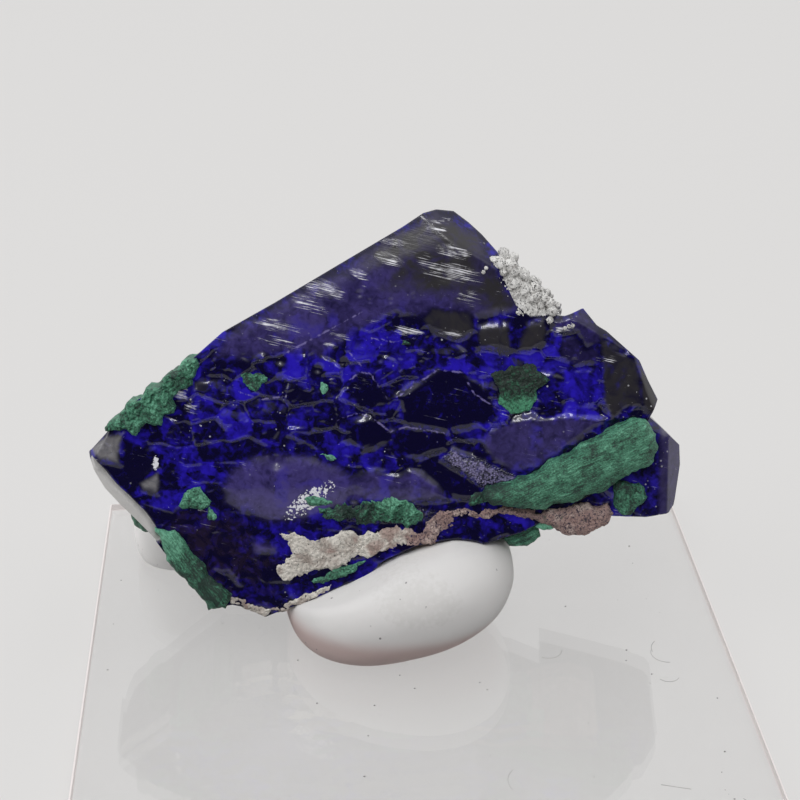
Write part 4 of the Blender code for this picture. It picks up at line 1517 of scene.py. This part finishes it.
@dataclass(frozen=True)
class Growth:
    """A body of another mineral on the stone: an outline with a rounded rim, and a habit for its surface.

    Its face stands at its front depth where it is thickest, and falls to the base at its rim as a quarter
    circle of the rim's width. Where it lies on the face, both are measured from the face's relief, so that
    its ragged lumps come up through it.
    """

    name: str
    node: str
    points: list[Point]
    front: float
    base: float
    back: float
    rim: float
    habit: Habit
    turn: float = 0.0
    texture: float = 0.2
    ragged: float = 0.25
    grid: SlabGrid = SlabGrid(120, 60, 16, 4)
    seed: int = 1
    tones: tuple[float, ...] = (0.0, 0.0)
    tones_up: tuple[float, ...] = (0.0, 0.0)

    def surface(self, a: Array, b: Array) -> Array:
        """The habit's fine relief, from about -1 to 1, at places along and across the fibres.

        Args:
            a, b: places along and across.

        Returns:
            The relief at each place.
        """
        if self.habit is Habit.FIBRES:
            strands = rough(a * 0.22, b + 0.25 * rough(a, b, self.seed + 5, 3.0, 2), self.seed, 0.7, 3)
            return 0.6 * strands + 0.6 * rough(a, b, self.seed + 9, 2.2, 4)
        if self.habit is Habit.RIBS:
            return np.sin(b * 7.0 + 1.5 * rough(a, b, self.seed, 4.0, 2)) * 0.7
        nearest, _, key = cells(a, b, self.seed, 0.62 if self.habit is Habit.CRUMBS else 0.5)
        return (0.9 - 1.5 * nearest) * (0.4 + key) * 0.7 + 0.9 * rough(a, b, self.seed + 4, 2.0, 4)

    def build(
        self, finish: bpy.types.Material, under: Callable[[Array, Array], Array] | None = None
    ) -> bpy.types.Object:
        """Builds the body along its own long direction, then turns it back into the face.

        Args:
            finish: its material.
            under: the relief of what it lies on, added to its own where it is given.

        Returns:
            The new piece.
        """
        outline = Outline(self.points).turned(-self.turn)
        c, s = math.cos(math.radians(self.turn)), math.sin(math.radians(self.turn))

        def front(a: Array, b: Array) -> Array:
            """The depth of its front: a dome with the habit's relief, on what it lies on.

            Args:
                a, b: places along and across.

            Returns:
                The depth at each place.
            """
            room = np.clip(outline.room(a, b) / self.rim, 0.0, 1.0)
            dome = np.sqrt(1 - (1 - room) ** 2)
            relief = -self.base + (self.base - self.front) * dome
            relief = relief + self.texture * self.surface(a, b) * (0.3 + 0.7 * dome)
            if under is not None:
                relief = relief + under(a * c - b * s, a * s + b * c)
            return -relief

        def back(a: Array, b: Array) -> Array:
            """The depth of its back, the same everywhere."""
            return np.full(a.shape, self.back)

        rings, faced = slab_rings(outline, front, back, self.grid)
        a, y, b = rings[..., 0], rings[..., 1], rings[..., 2]
        along = (a - a.min()) / (a.max() - a.min())
        upward = (b - b.min()) / (b.max() - b.min())
        tone = np.interp(along, np.linspace(0, 1, len(self.tones)), self.tones)
        tone = tone + np.interp(upward, np.linspace(0, 1, len(self.tones_up)), self.tones_up)
        texture = self.surface(a, b) * faced
        a = a + self.ragged * rough(a, b, self.seed + 20, 1.5, 4)
        b = b + self.ragged * rough(a, b, self.seed + 21, 1.5, 4)
        channels = {
            "ridge": np.append(texture.ravel(), [0.0, 0.0]), "tone": np.append(tone.ravel(), [0.0, 0.0]),
            "grain": np.concatenate([np.stack([a, y, b], -1).reshape(-1, 3), rings[[0, -1], 0]]),
        }
        placed = np.stack([a * c - b * s, y, a * s + b * c], -1)
        points, faces = closed_loft(STANCE.place(placed))
        piece = make_piece(self.name, points, faces, channels)
        piece.data.materials.append(finish)
        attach(piece, "root")
        if self.node:
            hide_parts(self.node)
        return piece


@dataclass
class Malachite:
    """The green growths: the blade, the crust, the pocket's filling, the spray, the tongue, the tuft."""

    growths: tuple[Growth, ...] = (
        Growth("malachite_blade_fibres", "malachite_blade",
               [(12.4, -14.2), (13.2, -13.1), (15.7, -12.6), (18.6, -11.7), (21.1, -10.8), (22.6, -9.2),
                (24.2, -8.6), (26.4, -7.6), (28.3, -6.2), (30.6, -5.0), (33.0, -3.4), (35.7, -2.5),
                (37.8, -3.1), (39.2, -5.0), (39.4, -7.3), (38.4, -9.6), (35.6, -11.2), (33.4, -12.2),
                (31.6, -13.7), (29.0, -14.4), (26.9, -15.6), (24.4, -15.9), (21.8, -16.9), (18.0, -16.6),
                (14.5, -16.2), (12.8, -15.6)],
               -3.9, -1.0, 0.6, 2.6, Habit.FIBRES, 24.0, 0.24, 0.40, SlabGrid(230, 120, 20, 4), 5,
               (-0.9, -0.1, 0.25, 0.0, 0.1, 0.25)),
        Growth("malachite_crust_crumbs", "malachite_crust",
               [(-45.4, -4.9), (-44.6, -3.2), (-43.0, -2.5), (-41.9, -0.5), (-40.0, 0.2), (-38.6, 1.9),
                (-37.0, 2.2), (-35.6, 4.1), (-34.0, 4.5), (-32.6, 6.3), (-31.2, 6.8), (-30.3, 5.2),
                (-31.4, 3.6), (-31.2, 2.6), (-33.6, 1.6), (-34.8, 0.2), (-34.6, -1.6), (-36.2, -2.2),
                (-36.6, -3.8), (-38.6, -3.6), (-40.2, -5.2), (-42.6, -4.6)],
               -2.2, -0.9, 6.0, 0.9, Habit.CRUMBS, 38.0, 0.60, 0.70, SlabGrid(150, 80, 20, 14), 6,
               (-0.1, 0.15, 0.2, -0.35, 0.2)),
        Growth("malachite_pocket_filling", "malachite_pocket",
               [(13.6, 4.2), (15.2, 4.8), (16.0, 4.6), (17.1, 5.7), (18.8, 5.4), (20.3, 5.8), (21.4, 4.4),
                (22.8, 3.4), (21.4, 2.2), (20.9, 0.0), (19.6, -1.6), (16.9, -2.0), (15.2, -0.2), (14.7, 2.4)],
               -1.4, -1.2, 2.2, 0.7, Habit.CRUMBS, 0.0, 0.26, 0.55, SlabGrid(100, 80, 10, 3), 7,
               (0.0, 0.0), (0.85, 0.55, -0.75, -0.85, -0.75)),
        Growth("malachite_spray_fibres", "malachite_spray",
               [(-37.6, -19.9), (-34.6, -20.2), (-32.0, -23.6), (-29.2, -27.4), (-26.2, -30.2),
                (-27.0, -32.4), (-29.6, -32.6), (-33.0, -28.6), (-36.2, -25.0), (-36.6, -22.0)],
               -2.0, -0.7, 7.0, 1.3, Habit.FIBRES, -52.0, 0.26, 0.50, SlabGrid(150, 70, 20, 16), 8,
               (0.9, 0.7, -0.25, -0.55, -0.5, -0.2)),
        Growth("malachite_tongue_ribs", "malachite_tongue",
               [(16.0, -21.4), (19.2, -19.9), (21.4, -19.6), (21.8, -21.6), (19.8, -23.2), (17.2, -23.3)],
               0.6, 1.6, 7.0, 1.4, Habit.RIBS, 24.0, 0.08, 0.25, SlabGrid(70, 50, 12, 12), 9),
    )
    tuft: Growth = Growth(
        "malachite_tuft_crumbs", "malachite_tuft",
        [(-13.5, -16.6), (-9.0, -16.2), (-6.0, -15.5), (-2.5, -15.2), (0.5, -14.9), (3.4, -16.4),
         (3.2, -18.8), (0.0, -19.9), (-3.5, -19.5), (-7.0, -19.2), (-12.4, -18.0)],
        -0.35, 0.6, 2.0, 1.6, Habit.CRUMBS, 0.0, 0.55, 1.1, SlabGrid(190, 80, 12, 3), 10,
        (0.3, -0.6, -0.8, -0.1, 0.35, 0.1), (-0.5, -0.1, 0.3),
    )
    patches: tuple[tuple[Point, Point, float, float], ...] = (
        ((-22.3, 3.1), (2.2, 1.6), -10.0, 0.0), ((-11.6, 2.0), (0.8, 0.9), 0.0, 0.9),
        ((0.9, 8.7), (0.9, 0.55), 0.0, -0.6), ((-31.6, -15.4), (2.4, 1.9), -6.0, 0.05),
        ((-29.2, -17.6), (0.8, 1.3), 30.0, 0.2), ((-10.9, -8.9), (1.3, 0.6), -20.0, 0.4),
        ((-9.6, -27.0), (4.6, 1.0), 22.0, 0.1), ((35.2, -15.0), (2.6, 2.8), 0.0, -0.35),
        ((-12.6, -15.6), (2.6, 0.8), -8.0, 0.3), ((12.6, -15.2), (2.6, 1.0), 14.0, -0.7),
        ((22.6, -19.6), (1.5, 0.7), -10.0, 1.1),
    )
    knob_centre: tuple[float, float, float] = (-40.0, 9.0, -19.2)
    knob_half: tuple[float, float, float] = (2.9, 4.4, 3.2)

    def build_patch(self, index: int, face: StoneFace, finish: bpy.types.Material) -> bpy.types.Object:
        """A thin crumbly patch, of a ragged ellipse, on the face's own relief.

        Args:
            index: which of the patches it is.
            face: the face that it lies on.
            finish: its material.

        Returns:
            The new piece.
        """
        (x, z), (half_x, half_z), turn, tone = self.patches[index]
        angles = np.linspace(0, 2 * math.pi, 15)[:-1]
        c, s = math.cos(math.radians(turn)), math.sin(math.radians(turn))
        reach = 1 + 0.16 * np.sin(angles * 3 + index) + 0.10 * np.cos(angles * 5 + 2 * index)
        a, b = half_x * np.cos(angles) * reach, half_z * np.sin(angles) * reach
        points = list(zip((x + a * c - b * s).tolist(), (z + a * s + b * c).tolist()))
        growth = Growth(
            f"malachite_patch_{index}", "", points, front=-0.30, base=0.50, back=1.6, rim=0.9,
            habit=Habit.CRUMBS, texture=0.26, ragged=0.4, grid=SlabGrid(54, 42, 6, 2), seed=30 + index,
            tones=(tone, tone),
        )
        return growth.build(finish, face.relief)

    def build_knob(self, finish: bpy.types.Material) -> bpy.types.Object:
        """The knob: an ellipsoid whose radius is shaken by crumbs, in latitude and longitude.

        Args:
            finish: its material.

        Returns:
            The new piece.
        """
        lat, lon, unit = ball_grid(1.53, 60, 90)
        shake = 1 + 0.07 * rough(np.cos(lon) * 6, np.sin(lon) * 6 + lat * 6, 15, 1.6, 3)
        rings = unit * shake[..., None] * np.array(self.knob_half) + np.array(self.knob_centre)
        points, faces = closed_loft(STANCE.place(rings))
        channels = {
            "ridge": np.append(((shake - 1) * 8).ravel(), [0.0, 0.0]),
            "tone": np.full(shake.size + 2, 0.1),
            "grain": np.concatenate([rings.reshape(-1, 3), rings[[0, -1], 0]]),
        }
        piece = make_piece("malachite_knob_ball", points, faces, channels)
        piece.data.materials.append(finish)
        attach(piece, "root")
        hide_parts("malachite_knob")
        return piece

    def build(self, face: StoneFace) -> list[bpy.types.Object]:
        """Builds and dresses all the green pieces.

        Args:
            face: the face that the thin ones lie on.

        Returns:
            The new pieces.
        """
        fibrous = MalachiteFinish("malachite_fibrous").material()
        crumbly = MalachiteFinish("malachite_crumbly", stretch=(1.0, 1.0, 1.0), bump=0.9).material()
        shaded = MalachiteFinish(
            "malachite_shaded", dark=(0.003, 0.014, 0.010), middle=(0.014, 0.090, 0.048),
            light=(0.060, 0.27, 0.15), stretch=(1.0, 1.0, 1.0),
        ).material()
        pieces = []
        for growth in self.growths:
            finish = fibrous if growth.habit in (Habit.FIBRES, Habit.RIBS) else crumbly
            finish = shaded if growth.node == "malachite_pocket" else finish
            pieces.append(growth.build(finish))
        pieces.append(self.tuft.build(crumbly, face.relief))
        pieces += [self.build_patch(index, face, crumbly) for index in range(len(self.patches))]
        pieces.append(self.build_knob(shaded))
        return pieces


@dataclass
class Matrix:
    """The pale rock: the cream patch, the pink ledge, the thin seam between them and the white grains."""

    patch: Growth = Growth(
        "matrix_patch_cream", "matrix_patch",
        [(-19.6, -20.6), (-16.0, -20.9), (-12.2, -21.2), (-7.1, -20.4), (-3.0, -19.9), (-0.4, -19.5),
         (3.8, -20.4), (1.0, -22.4), (-3.0, -24.0), (-8.8, -26.0), (-12.3, -27.2), (-17.6, -28.2),
         (-19.4, -26.4), (-17.0, -23.4)],
        -0.25, 0.60, 2.0, 1.1, Habit.GRAINS, 0.0, 0.26, 0.9, SlabGrid(220, 110, 12, 3), 51,
        (0.0, 0.0, 0.2, 0.9, 1.0),
    )
    ledge: Growth = Growth(
        "matrix_ledge_pink", "matrix_ledge",
        [(17.2, -17.0), (21.5, -17.6), (26.9, -16.2), (32.4, -16.2), (33.2, -17.8), (31.1, -19.6),
         (28.5, -21.0), (25.0, -20.9), (22.4, -19.2), (19.0, -18.4)],
        -1.6, 0.2, 10.0, 1.6, Habit.GRAINS, 6.0, 0.34, 0.6, SlabGrid(150, 80, 14, 16), 52,
        (0.6, 1.0, 1.0, 0.7),
    )
    seam: Growth = Growth(
        "matrix_seam_tan", "",
        [(0.2, -21.2), (3.2, -20.2), (4.6, -17.8), (7.4, -16.9), (12.5, -16.9), (17.0, -16.2), (21.0, -16.9),
         (20.5, -18.6), (17.0, -18.0), (12.5, -18.4), (9.0, -18.6), (7.2, -20.0), (4.6, -22.4), (1.2, -22.8)],
        -0.15, 0.5, 2.0, 0.9, Habit.GRAINS, 0.0, 0.42, 0.7, SlabGrid(190, 40, 8, 2), 53, (0.9, 0.6, 0.8),
    )
    bits: Growth = Growth(
        "matrix_white_bits", "",
        [(-26.2, -30.2), (-23.6, -31.6), (-20.6, -32.6), (-17.2, -31.4), (-13.0, -29.6), (-10.4, -28.6),
         (-11.0, -30.0), (-15.0, -31.9), (-18.6, -33.2), (-21.0, -34.0), (-23.2, -33.0), (-26.4, -31.8)],
        -0.10, 0.7, 2.0, 0.5, Habit.GRAINS, 0.0, 0.42, 0.4, SlabGrid(120, 20, 8, 2), 55, (0.2, 0.0, 0.0),
    )
    bed_points: tuple[Point, ...] = (
        (13.4, 22.0), (15.4, 22.0), (17.4, 20.0), (19.8, 17.0), (21.4, 14.6), (23.6, 13.0), (21.6, 11.4),
        (17.4, 12.6), (13.8, 17.0),
    )
    run: tuple[Point, Point] = ((15.6, 20.9), (23.8, 12.9))
    outliers: tuple[Point, ...] = ((13.0, 20.3), (12.6, 19.7), (25.0, 11.2), (25.6, 11.5), (26.2, 11.6))
    count: int = 320
    depth: float = 8.4

    def build_grains(self, finish: bpy.types.Material) -> bpy.types.Object:
        """The white grains: many small balls with shaken radii, strewn along a run, and the bed below.

        Each grain is the same latitude and longitude grid, its radius shaken at every point.

        Args:
            finish: its material.

        Returns:
            The new piece.
        """
        chance = np.random.default_rng(7)
        along = chance.random(self.count)
        start, end = np.array(self.run[0]), np.array(self.run[1])
        across = chance.normal(0.0, 0.62, (self.count, 2))
        place = start + (end - start) * along[:, None] + across
        place[: len(self.outliers)] = self.outliers
        y = chance.uniform(-0.9, self.depth, self.count)
        y[: len(self.outliers)] = -1.6
        size = chance.uniform(0.40, 1.05, self.count) * (1.10 - 0.30 * along)
        size[: len(self.outliers)] = 0.30
        lat, _, unit = ball_grid(1.45, 8, 12)
        shake = 1 + 0.20 * chance.uniform(-1, 1, (self.count, *lat.shape))
        centres = np.stack([place[:, 0], y, place[:, 1]], -1)
        rings = centres[:, None, None] + unit[None] * (size[:, None, None] * shake)[..., None]
        points, faces = merged_lofts(list(rings))
        piece = make_piece("matrix_white_grains", STANCE.place(points), faces, {"grain": points})
        piece.data.materials.append(finish)
        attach(piece, "root")
        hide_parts("matrix_grains")
        return piece

    def build(self, face: StoneFace) -> list[bpy.types.Object]:
        """Builds and dresses all the pale pieces.

        Args:
            face: the face that the thin ones lie on.

        Returns:
            The new pieces.
        """
        cream = MatrixFinish("matrix_cream", (0.74, 0.70, 0.64), (0.46, 0.40, 0.36), (0.09, 0.09, 0.08))
        pink = MatrixFinish(
            "matrix_pink", (0.54, 0.42, 0.38), (0.32, 0.22, 0.21), (0.07, 0.05, 0.07), 0.6, 0.8
        )
        white = MatrixFinish(
            "grains_white", (0.82, 0.81, 0.79), (0.60, 0.58, 0.56), (0.05, 0.05, 0.05), 0.35, 0.7
        )
        pale, rosy, bright = cream.material(), pink.material(), white.material()
        pieces = [
            self.patch.build(pale, face.relief), self.ledge.build(rosy), self.seam.build(rosy, face.relief),
            self.bits.build(pale, face.relief),
        ]
        bed = Growth(
            "matrix_grain_bed", "matrix_grains", list(self.bed_points), front=-0.5, base=0.4, back=8.6,
            rim=1.2, habit=Habit.GRAINS, texture=0.4, ragged=0.5, grid=SlabGrid(110, 60, 10, 24), seed=54,
        )
        grains = [self.build_grains(bright), bed.build(bright)]
        return pieces + grains


# Putty and plate


@dataclass
class Putty:
    """The two lumps of putty: balls pressed flat on the plate."""

    front_centre: tuple[float, float, float] = (-1.1, 11.5, 10.0)
    front_half: tuple[float, float, float] = (18.3, 16.0, 9.4)
    front_tilt: float = math.radians(-14.0)
    rear_centre: tuple[float, float, float] = (-31.5, 36.0, 9.0)
    rear_half: tuple[float, float, float] = (13.0, 9.5, 10.5)
    stone_edge: tuple[Point, ...] = (
        (-20.0, 9.4), (-9.3, 13.6), (-1.2, 17.8), (6.9, 20.2), (15.0, 19.8), (20.0, 19.0),
    )
    grid: tuple[int, int] = (150, 220)

    def build_lump(
        self, name: str, node: str, centre: tuple, half: tuple, tilt: float, square: float,
        carries: bool, finish: bpy.types.Material,
    ) -> bpy.types.Object:
        """A lump: a rounded box between ball and block, tilted about y, and flat where it meets the plate.

        The lump that carries the stone is also kept below the stone's lower edge, and gets painted
        pink-tinted shade low down.

        Args:
            name, node: the piece's name and the solid that it stands for.
            centre, half: its middle and its half sizes, in row-frame millimetres.
            tilt: its turn about y.
            square: 2 for a ball, more for a squarer lump.
            carries: whether the stone's lower edge is pressed into it.
            finish: its material.

        Returns:
            The new piece.
        """
        rows, around = self.grid
        unit = ball_grid(1.555, rows, around)[2]
        size = (np.abs(unit) ** square).sum(-1) ** (-1 / square)
        wave_x, wave_y = unit[..., 0] * 3 + unit[..., 2] * 2, unit[..., 1] * 3 - unit[..., 2]
        soft = 1 + 0.012 * rough(wave_x, wave_y, 81, 1.7, 3)
        local = unit * (size * soft)[..., None] * np.array(half)
        c, s = math.cos(tilt), math.sin(tilt)
        right, inward, up = local[..., 0], local[..., 1], local[..., 2]
        rings = np.stack([right * c + up * s, inward, up * c - right * s], -1) + np.array(centre)
        if carries:
            x, y = rings[..., 0], rings[..., 1]
            pressed = np.interp(x, [p[0] for p in self.stone_edge], [p[1] for p in self.stone_edge]) - 0.3
            pressed = pressed + 0.12 * (6.5 - y) + 0.15 * rough(x, y, 83, 5.0, 3)
            rings[..., 2] = soft_min(rings[..., 2], pressed, 1.2)
        rings[..., 2] = np.maximum(rings[..., 2], PLATE_TOP + 0.02)
        # Where painted shade darkens the underside, only on the lump that carries the stone.
        low = 1 - ease(rings[..., 2], PLATE_TOP + 2.4, PLATE_TOP + 8.2)
        low = low * carries
        smudge = np.sqrt(np.clip(1 - ((rings[..., 0] - 1) / 8) ** 2 - ((rings[..., 2] - 15) / 4) ** 2, 0, 1))
        channels = {
            "low": np.append(low.ravel(), [1.0, 0.0]), "smudge": np.append(smudge.ravel(), [0.0, 0.0]),
            "grain": np.concatenate([rings.reshape(-1, 3), rings[[0, -1], 0]]),
        }
        points, faces = closed_loft(rings)
        piece = make_piece(name, points, faces, channels)
        piece.data.materials.append(finish)
        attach(piece, "root")
        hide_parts(node)
        return piece

    def build(self) -> list[bpy.types.Object]:
        """Builds and dresses both lumps.

        Returns:
            The front lump and the rear one.
        """
        # The rear lump's white is a brighter copy: painted light that lifts it out of the stone's shade.
        finish, brightened = PuttyFinish().material(), PuttyFinish("putty_brightened", (0.95, 0.94, 0.93)).material()
        return [
            self.build_lump("putty_front_lump", "putty_front", self.front_centre, self.front_half,
                            self.front_tilt, 2.3, True, finish),
            self.build_lump("putty_rear_lump", "putty_rear", self.rear_centre, self.rear_half,
                            0.0, 3.0, False, brightened),
        ]


@dataclass
class Plate:
    """The clear sheet with its rounded edges, and the dust on it.

    A face of the sheet is sawn where its normal leans out of the upright by more than sawn_slope.
    """

    node: str = "clear_plate"
    half: float = 50.0
    edge: float = 0.3
    specks: int = 70
    hairs: int = 9
    sawn_slope: float = 0.15

    def build_dust(self, finish: bpy.types.Material) -> bpy.types.Object:
        """Dust and lint on the plate: specks are small flattened balls, hairs are thin bent tubes on it.

        Args:
            finish: its material.

        Returns:
            The new piece.
        """
        chance = np.random.default_rng(12)
        unit = ball_grid(1.3, 4, 6)[2]
        shapes = []
        for _ in range(self.specks):
            size = chance.uniform(0.05, 0.15)
            x, y = chance.uniform(-47, 47), chance.uniform(-46, 40)
            shapes.append(unit * size * np.array([1.3, 1.0, 0.6]) + np.array([x, y, PLATE_TOP + 0.5 * size]))
        around = np.linspace(0, 2 * math.pi, 6)[:-1]
        for _ in range(self.hairs):
            t = np.linspace(0, 1, 24)
            length, turn, bend = chance.uniform(2, 5), chance.uniform(0, 6.28), chance.uniform(-2.4, 2.4)
            heading = turn + bend * t
            x = chance.uniform(8, 45) + np.cumsum(np.cos(heading)) * length / 24
            y = chance.uniform(-44, 5) + np.cumsum(np.sin(heading)) * length / 24
            ring = 0.03 * np.stack([np.cos(around), np.sin(around)], -1)
            side = np.stack([-np.sin(heading), np.cos(heading)], -1)
            tube = np.empty((24, 5, 3))
            tube[..., 0] = x[:, None] + side[:, :1] * ring[:, 0]
            tube[..., 1] = y[:, None] + side[:, 1:] * ring[:, 0]
            tube[..., 2] = PLATE_TOP + 0.04 + ring[:, 1]
            shapes.append(tube)
        points, faces = merged_lofts(shapes)
        piece = make_piece("plate_dust", points, faces, {})
        piece.data.materials.append(finish)
        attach(piece, "root")
        return piece

    def build_sheet(self) -> bpy.types.Object:
        """The sheet: a rounded rectangle in y and z, run along x and drawn in round both ends.

        Returns:
            The new piece, clear but for its sawn edges.
        """
        arc = np.linspace(0, math.pi / 2, 5)
        bend_in, bend_out = self.edge * (1 - np.sin(arc)), self.edge * (1 - np.cos(arc))
        y = self.half - np.concatenate([bend_in, bend_in[::-1]])
        z = np.concatenate([PLATE_TOP - bend_out, bend_out[::-1]])
        side = np.concatenate([np.sin(arc), np.sin(arc[::-1])])
        ring = np.stack([np.concatenate([y, -y[::-1]]), np.concatenate([z, z[::-1]])], -1)
        wall = np.concatenate([side, side[::-1]])
        x = np.concatenate([-self.half + bend_out, self.half - bend_out[::-1]])
        shrink = np.concatenate([bend_in, bend_in[::-1]])
        rings = np.empty((len(x), len(ring), 3))
        rings[..., 0] = x[:, None]
        rings[..., 1] = ring[:, 0] * (1 - shrink[:, None] / self.half)
        middle = PLATE_TOP / 2
        rings[..., 2] = middle + (ring[:, 1] - middle) * (1 - shrink[:, None] / middle)
        edge = np.maximum(np.broadcast_to(wall, rings.shape[:2]), (shrink / self.edge)[:, None])
        points, faces = closed_loft(rings)
        channels = {"edge": np.append(edge.ravel(), [1.0, 1.0])}
        piece = make_piece("plate_clear_sheet", points, faces, channels, smooth=False)
        piece.data.materials.append(AcrylicFinish().material())
        piece.data.materials.append(SawnEdgeFinish().material())
        facing = np.empty(3 * len(faces))
        piece.data.polygons.foreach_get("normal", facing)
        sawn = np.abs(facing.reshape(-1, 3)[:, :2]).max(1) > self.sawn_slope
        piece.data.polygons.foreach_set("material_index", sawn.astype(np.int32))
        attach(piece, "root")
        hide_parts(self.node)
        return piece

    def build(self) -> list[bpy.types.Object]:
        """Builds the sheet and strews the dust."""
        return [self.build_sheet(), self.build_dust(DustFinish().material())]


# The studio


@dataclass
class Studio:
    """The pale floor, the soft light and the camera."""

    floor_half: float = 4.0
    floor_z: float = -0.0004
    floor_colour: Colour = (0.20, 0.198, 0.195)
    floor_glow: float = 0.49
    camera_place: tuple[float, float, float] = (-0.0173, -0.2231, 0.1676)
    camera_down: float = math.radians(28.0)
    camera_turn: float = math.radians(4.0)
    lens: float = 79.7
    sensor: float = 36.0
    lamps: tuple[tuple[str, tuple[float, float, float], tuple[float, float], float], ...] = (
        ("lamp_overhead", (0.05, 0.25, 0.95), (0.9, 0.9), 2.2),
        ("lamp_front", (-0.06, -0.30, 0.46), (0.16, 0.05), 0.50),
        ("lamp_left", (-0.75, -0.10, 0.50), (0.5, 0.5), 1.6),
    )
    lamp_target: tuple[float, float, float] = (0.0, 0.015, 0.035)
    sky: float = 0.75
    dim: float = 0.03
    window: float = 0.9

    def build_floor(self) -> bpy.types.Object:
        """The floor: a flat grid, its finish a pale paper with the faintest mottling.

        Returns:
            The new floor.
        """
        run = np.linspace(-self.floor_half, self.floor_half, 9)
        x, y = np.meshgrid(run, run, indexing="ij")
        points = np.stack([x, y, np.full(x.shape, self.floor_z)], -1).reshape(-1, 3)
        index = np.arange(81).reshape(9, 9)
        quads = np.stack([index[:-1, :-1], index[1:, :-1], index[1:, 1:], index[:-1, 1:]], -1).reshape(-1, 4)
        mesh = bpy.data.meshes.new("studio_floor")
        mesh.from_pydata(points.tolist(), [], quads.tolist())
        floor = bpy.data.objects.new("studio_floor", mesh)
        bpy.context.scene.collection.objects.link(floor)
        made, tree = new_material("pale_paper")
        place = tree.node("ShaderNodeTexCoord", {}, {}, "Object")
        mottle = tree.noise(place, 6.0, 2.0)
        darker = tuple(0.985 * part for part in self.floor_colour)
        tree.surface({
            "Base Color": tree.blend(mottle, self.floor_colour, darker), "Roughness": 0.95,
            "Emission Color": (1.0, 0.987, 0.978, 1.0), "Emission Strength": self.floor_glow,
        })
        mesh.materials.append(made)
        return floor

    def build_world(self) -> None:
        """Even light from all round, dark from low in front, and a brighter window high in front."""
        world = bpy.data.worlds.new("studio_light")
        world.use_nodes = True
        bpy.context.scene.world = world
        tree = Tree(world.node_tree)
        way = tree.node("ShaderNodeTexCoord", {}, {}, "Generated")
        ahead = tree.node("ShaderNodeSeparateXYZ", {}, {0: way}, 1)
        up = tree.node("ShaderNodeSeparateXYZ", {}, {0: way}, 2)
        toward = 0.0 - ahead
        shade = toward.eased(0.0, 0.5) * (1.0 - up.eased(0.40, 0.80))
        window = toward.eased(0.15, 0.5) * up.eased(0.55, 0.80)
        bright, dark = (self.sky, self.sky, self.sky), (self.dim, self.dim, self.dim * 1.1)
        colour = tree.blend(shade, bright, dark)
        strength = 1.0 + window * self.window
        light = tree.node("ShaderNodeBackground", {}, {"Color": colour, "Strength": strength})
        tree.finish("ShaderNodeOutputWorld", light)

    def build_lamps(self) -> None:
        """Soft square lamps, each turned to the stone."""
        for name, place, (width, height), power in self.lamps:
            data = bpy.data.lights.new(name, "AREA")
            data.shape = "RECTANGLE"
            data.size, data.size_y = width, height
            data.energy = power
            lamp = bpy.data.objects.new(name, data)
            lamp.location = place
            aim = Vector(self.lamp_target) - Vector(place)
            lamp.rotation_euler = aim.to_track_quat("-Z", "Y").to_euler()
            bpy.context.scene.collection.objects.link(lamp)

    def build_camera(self) -> None:
        """The camera, placed as the plate's edges in the picture ask."""
        data = bpy.data.cameras.new("studio_camera")
        data.lens, data.sensor_width = self.lens, self.sensor
        data.clip_start = 0.01
        camera = bpy.data.objects.new("studio_camera", data)
        turn, level = self.camera_turn, math.cos(self.camera_down)
        ahead = Vector((math.sin(turn) * level, math.cos(turn) * level, -math.sin(self.camera_down)))
        camera.location = self.camera_place
        camera.rotation_euler = ahead.to_track_quat("-Z", "Y").to_euler()
        bpy.context.scene.collection.objects.link(camera)
        bpy.context.scene.camera = camera

    def build(self) -> None:
        """Builds all of it and sets plain colours for the picture."""
        self.build_floor()
        self.build_world()
        self.build_lamps()
        self.build_camera()
        bpy.context.scene.view_settings.view_transform = "Standard"


def report(pieces: list[bpy.types.Object]) -> None:
    """Logs each piece and its number of faces."""
    for piece in pieces:
        log.info("%s: %d faces", piece.name, len(piece.data.polygons))


def main() -> None:
    """Builds the specimen's pieces in order, then the studio."""
    logging.basicConfig(level=logging.INFO, format="%(name)s: %(message)s")
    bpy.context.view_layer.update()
    azurite = Azurite()
    report(azurite.build())
    report(Malachite().build(azurite.face))
    report(Matrix().build(azurite.face))
    report(Putty().build())
    report(Plate().build())
    Studio().build()


if __name__ == "__main__":
    main()
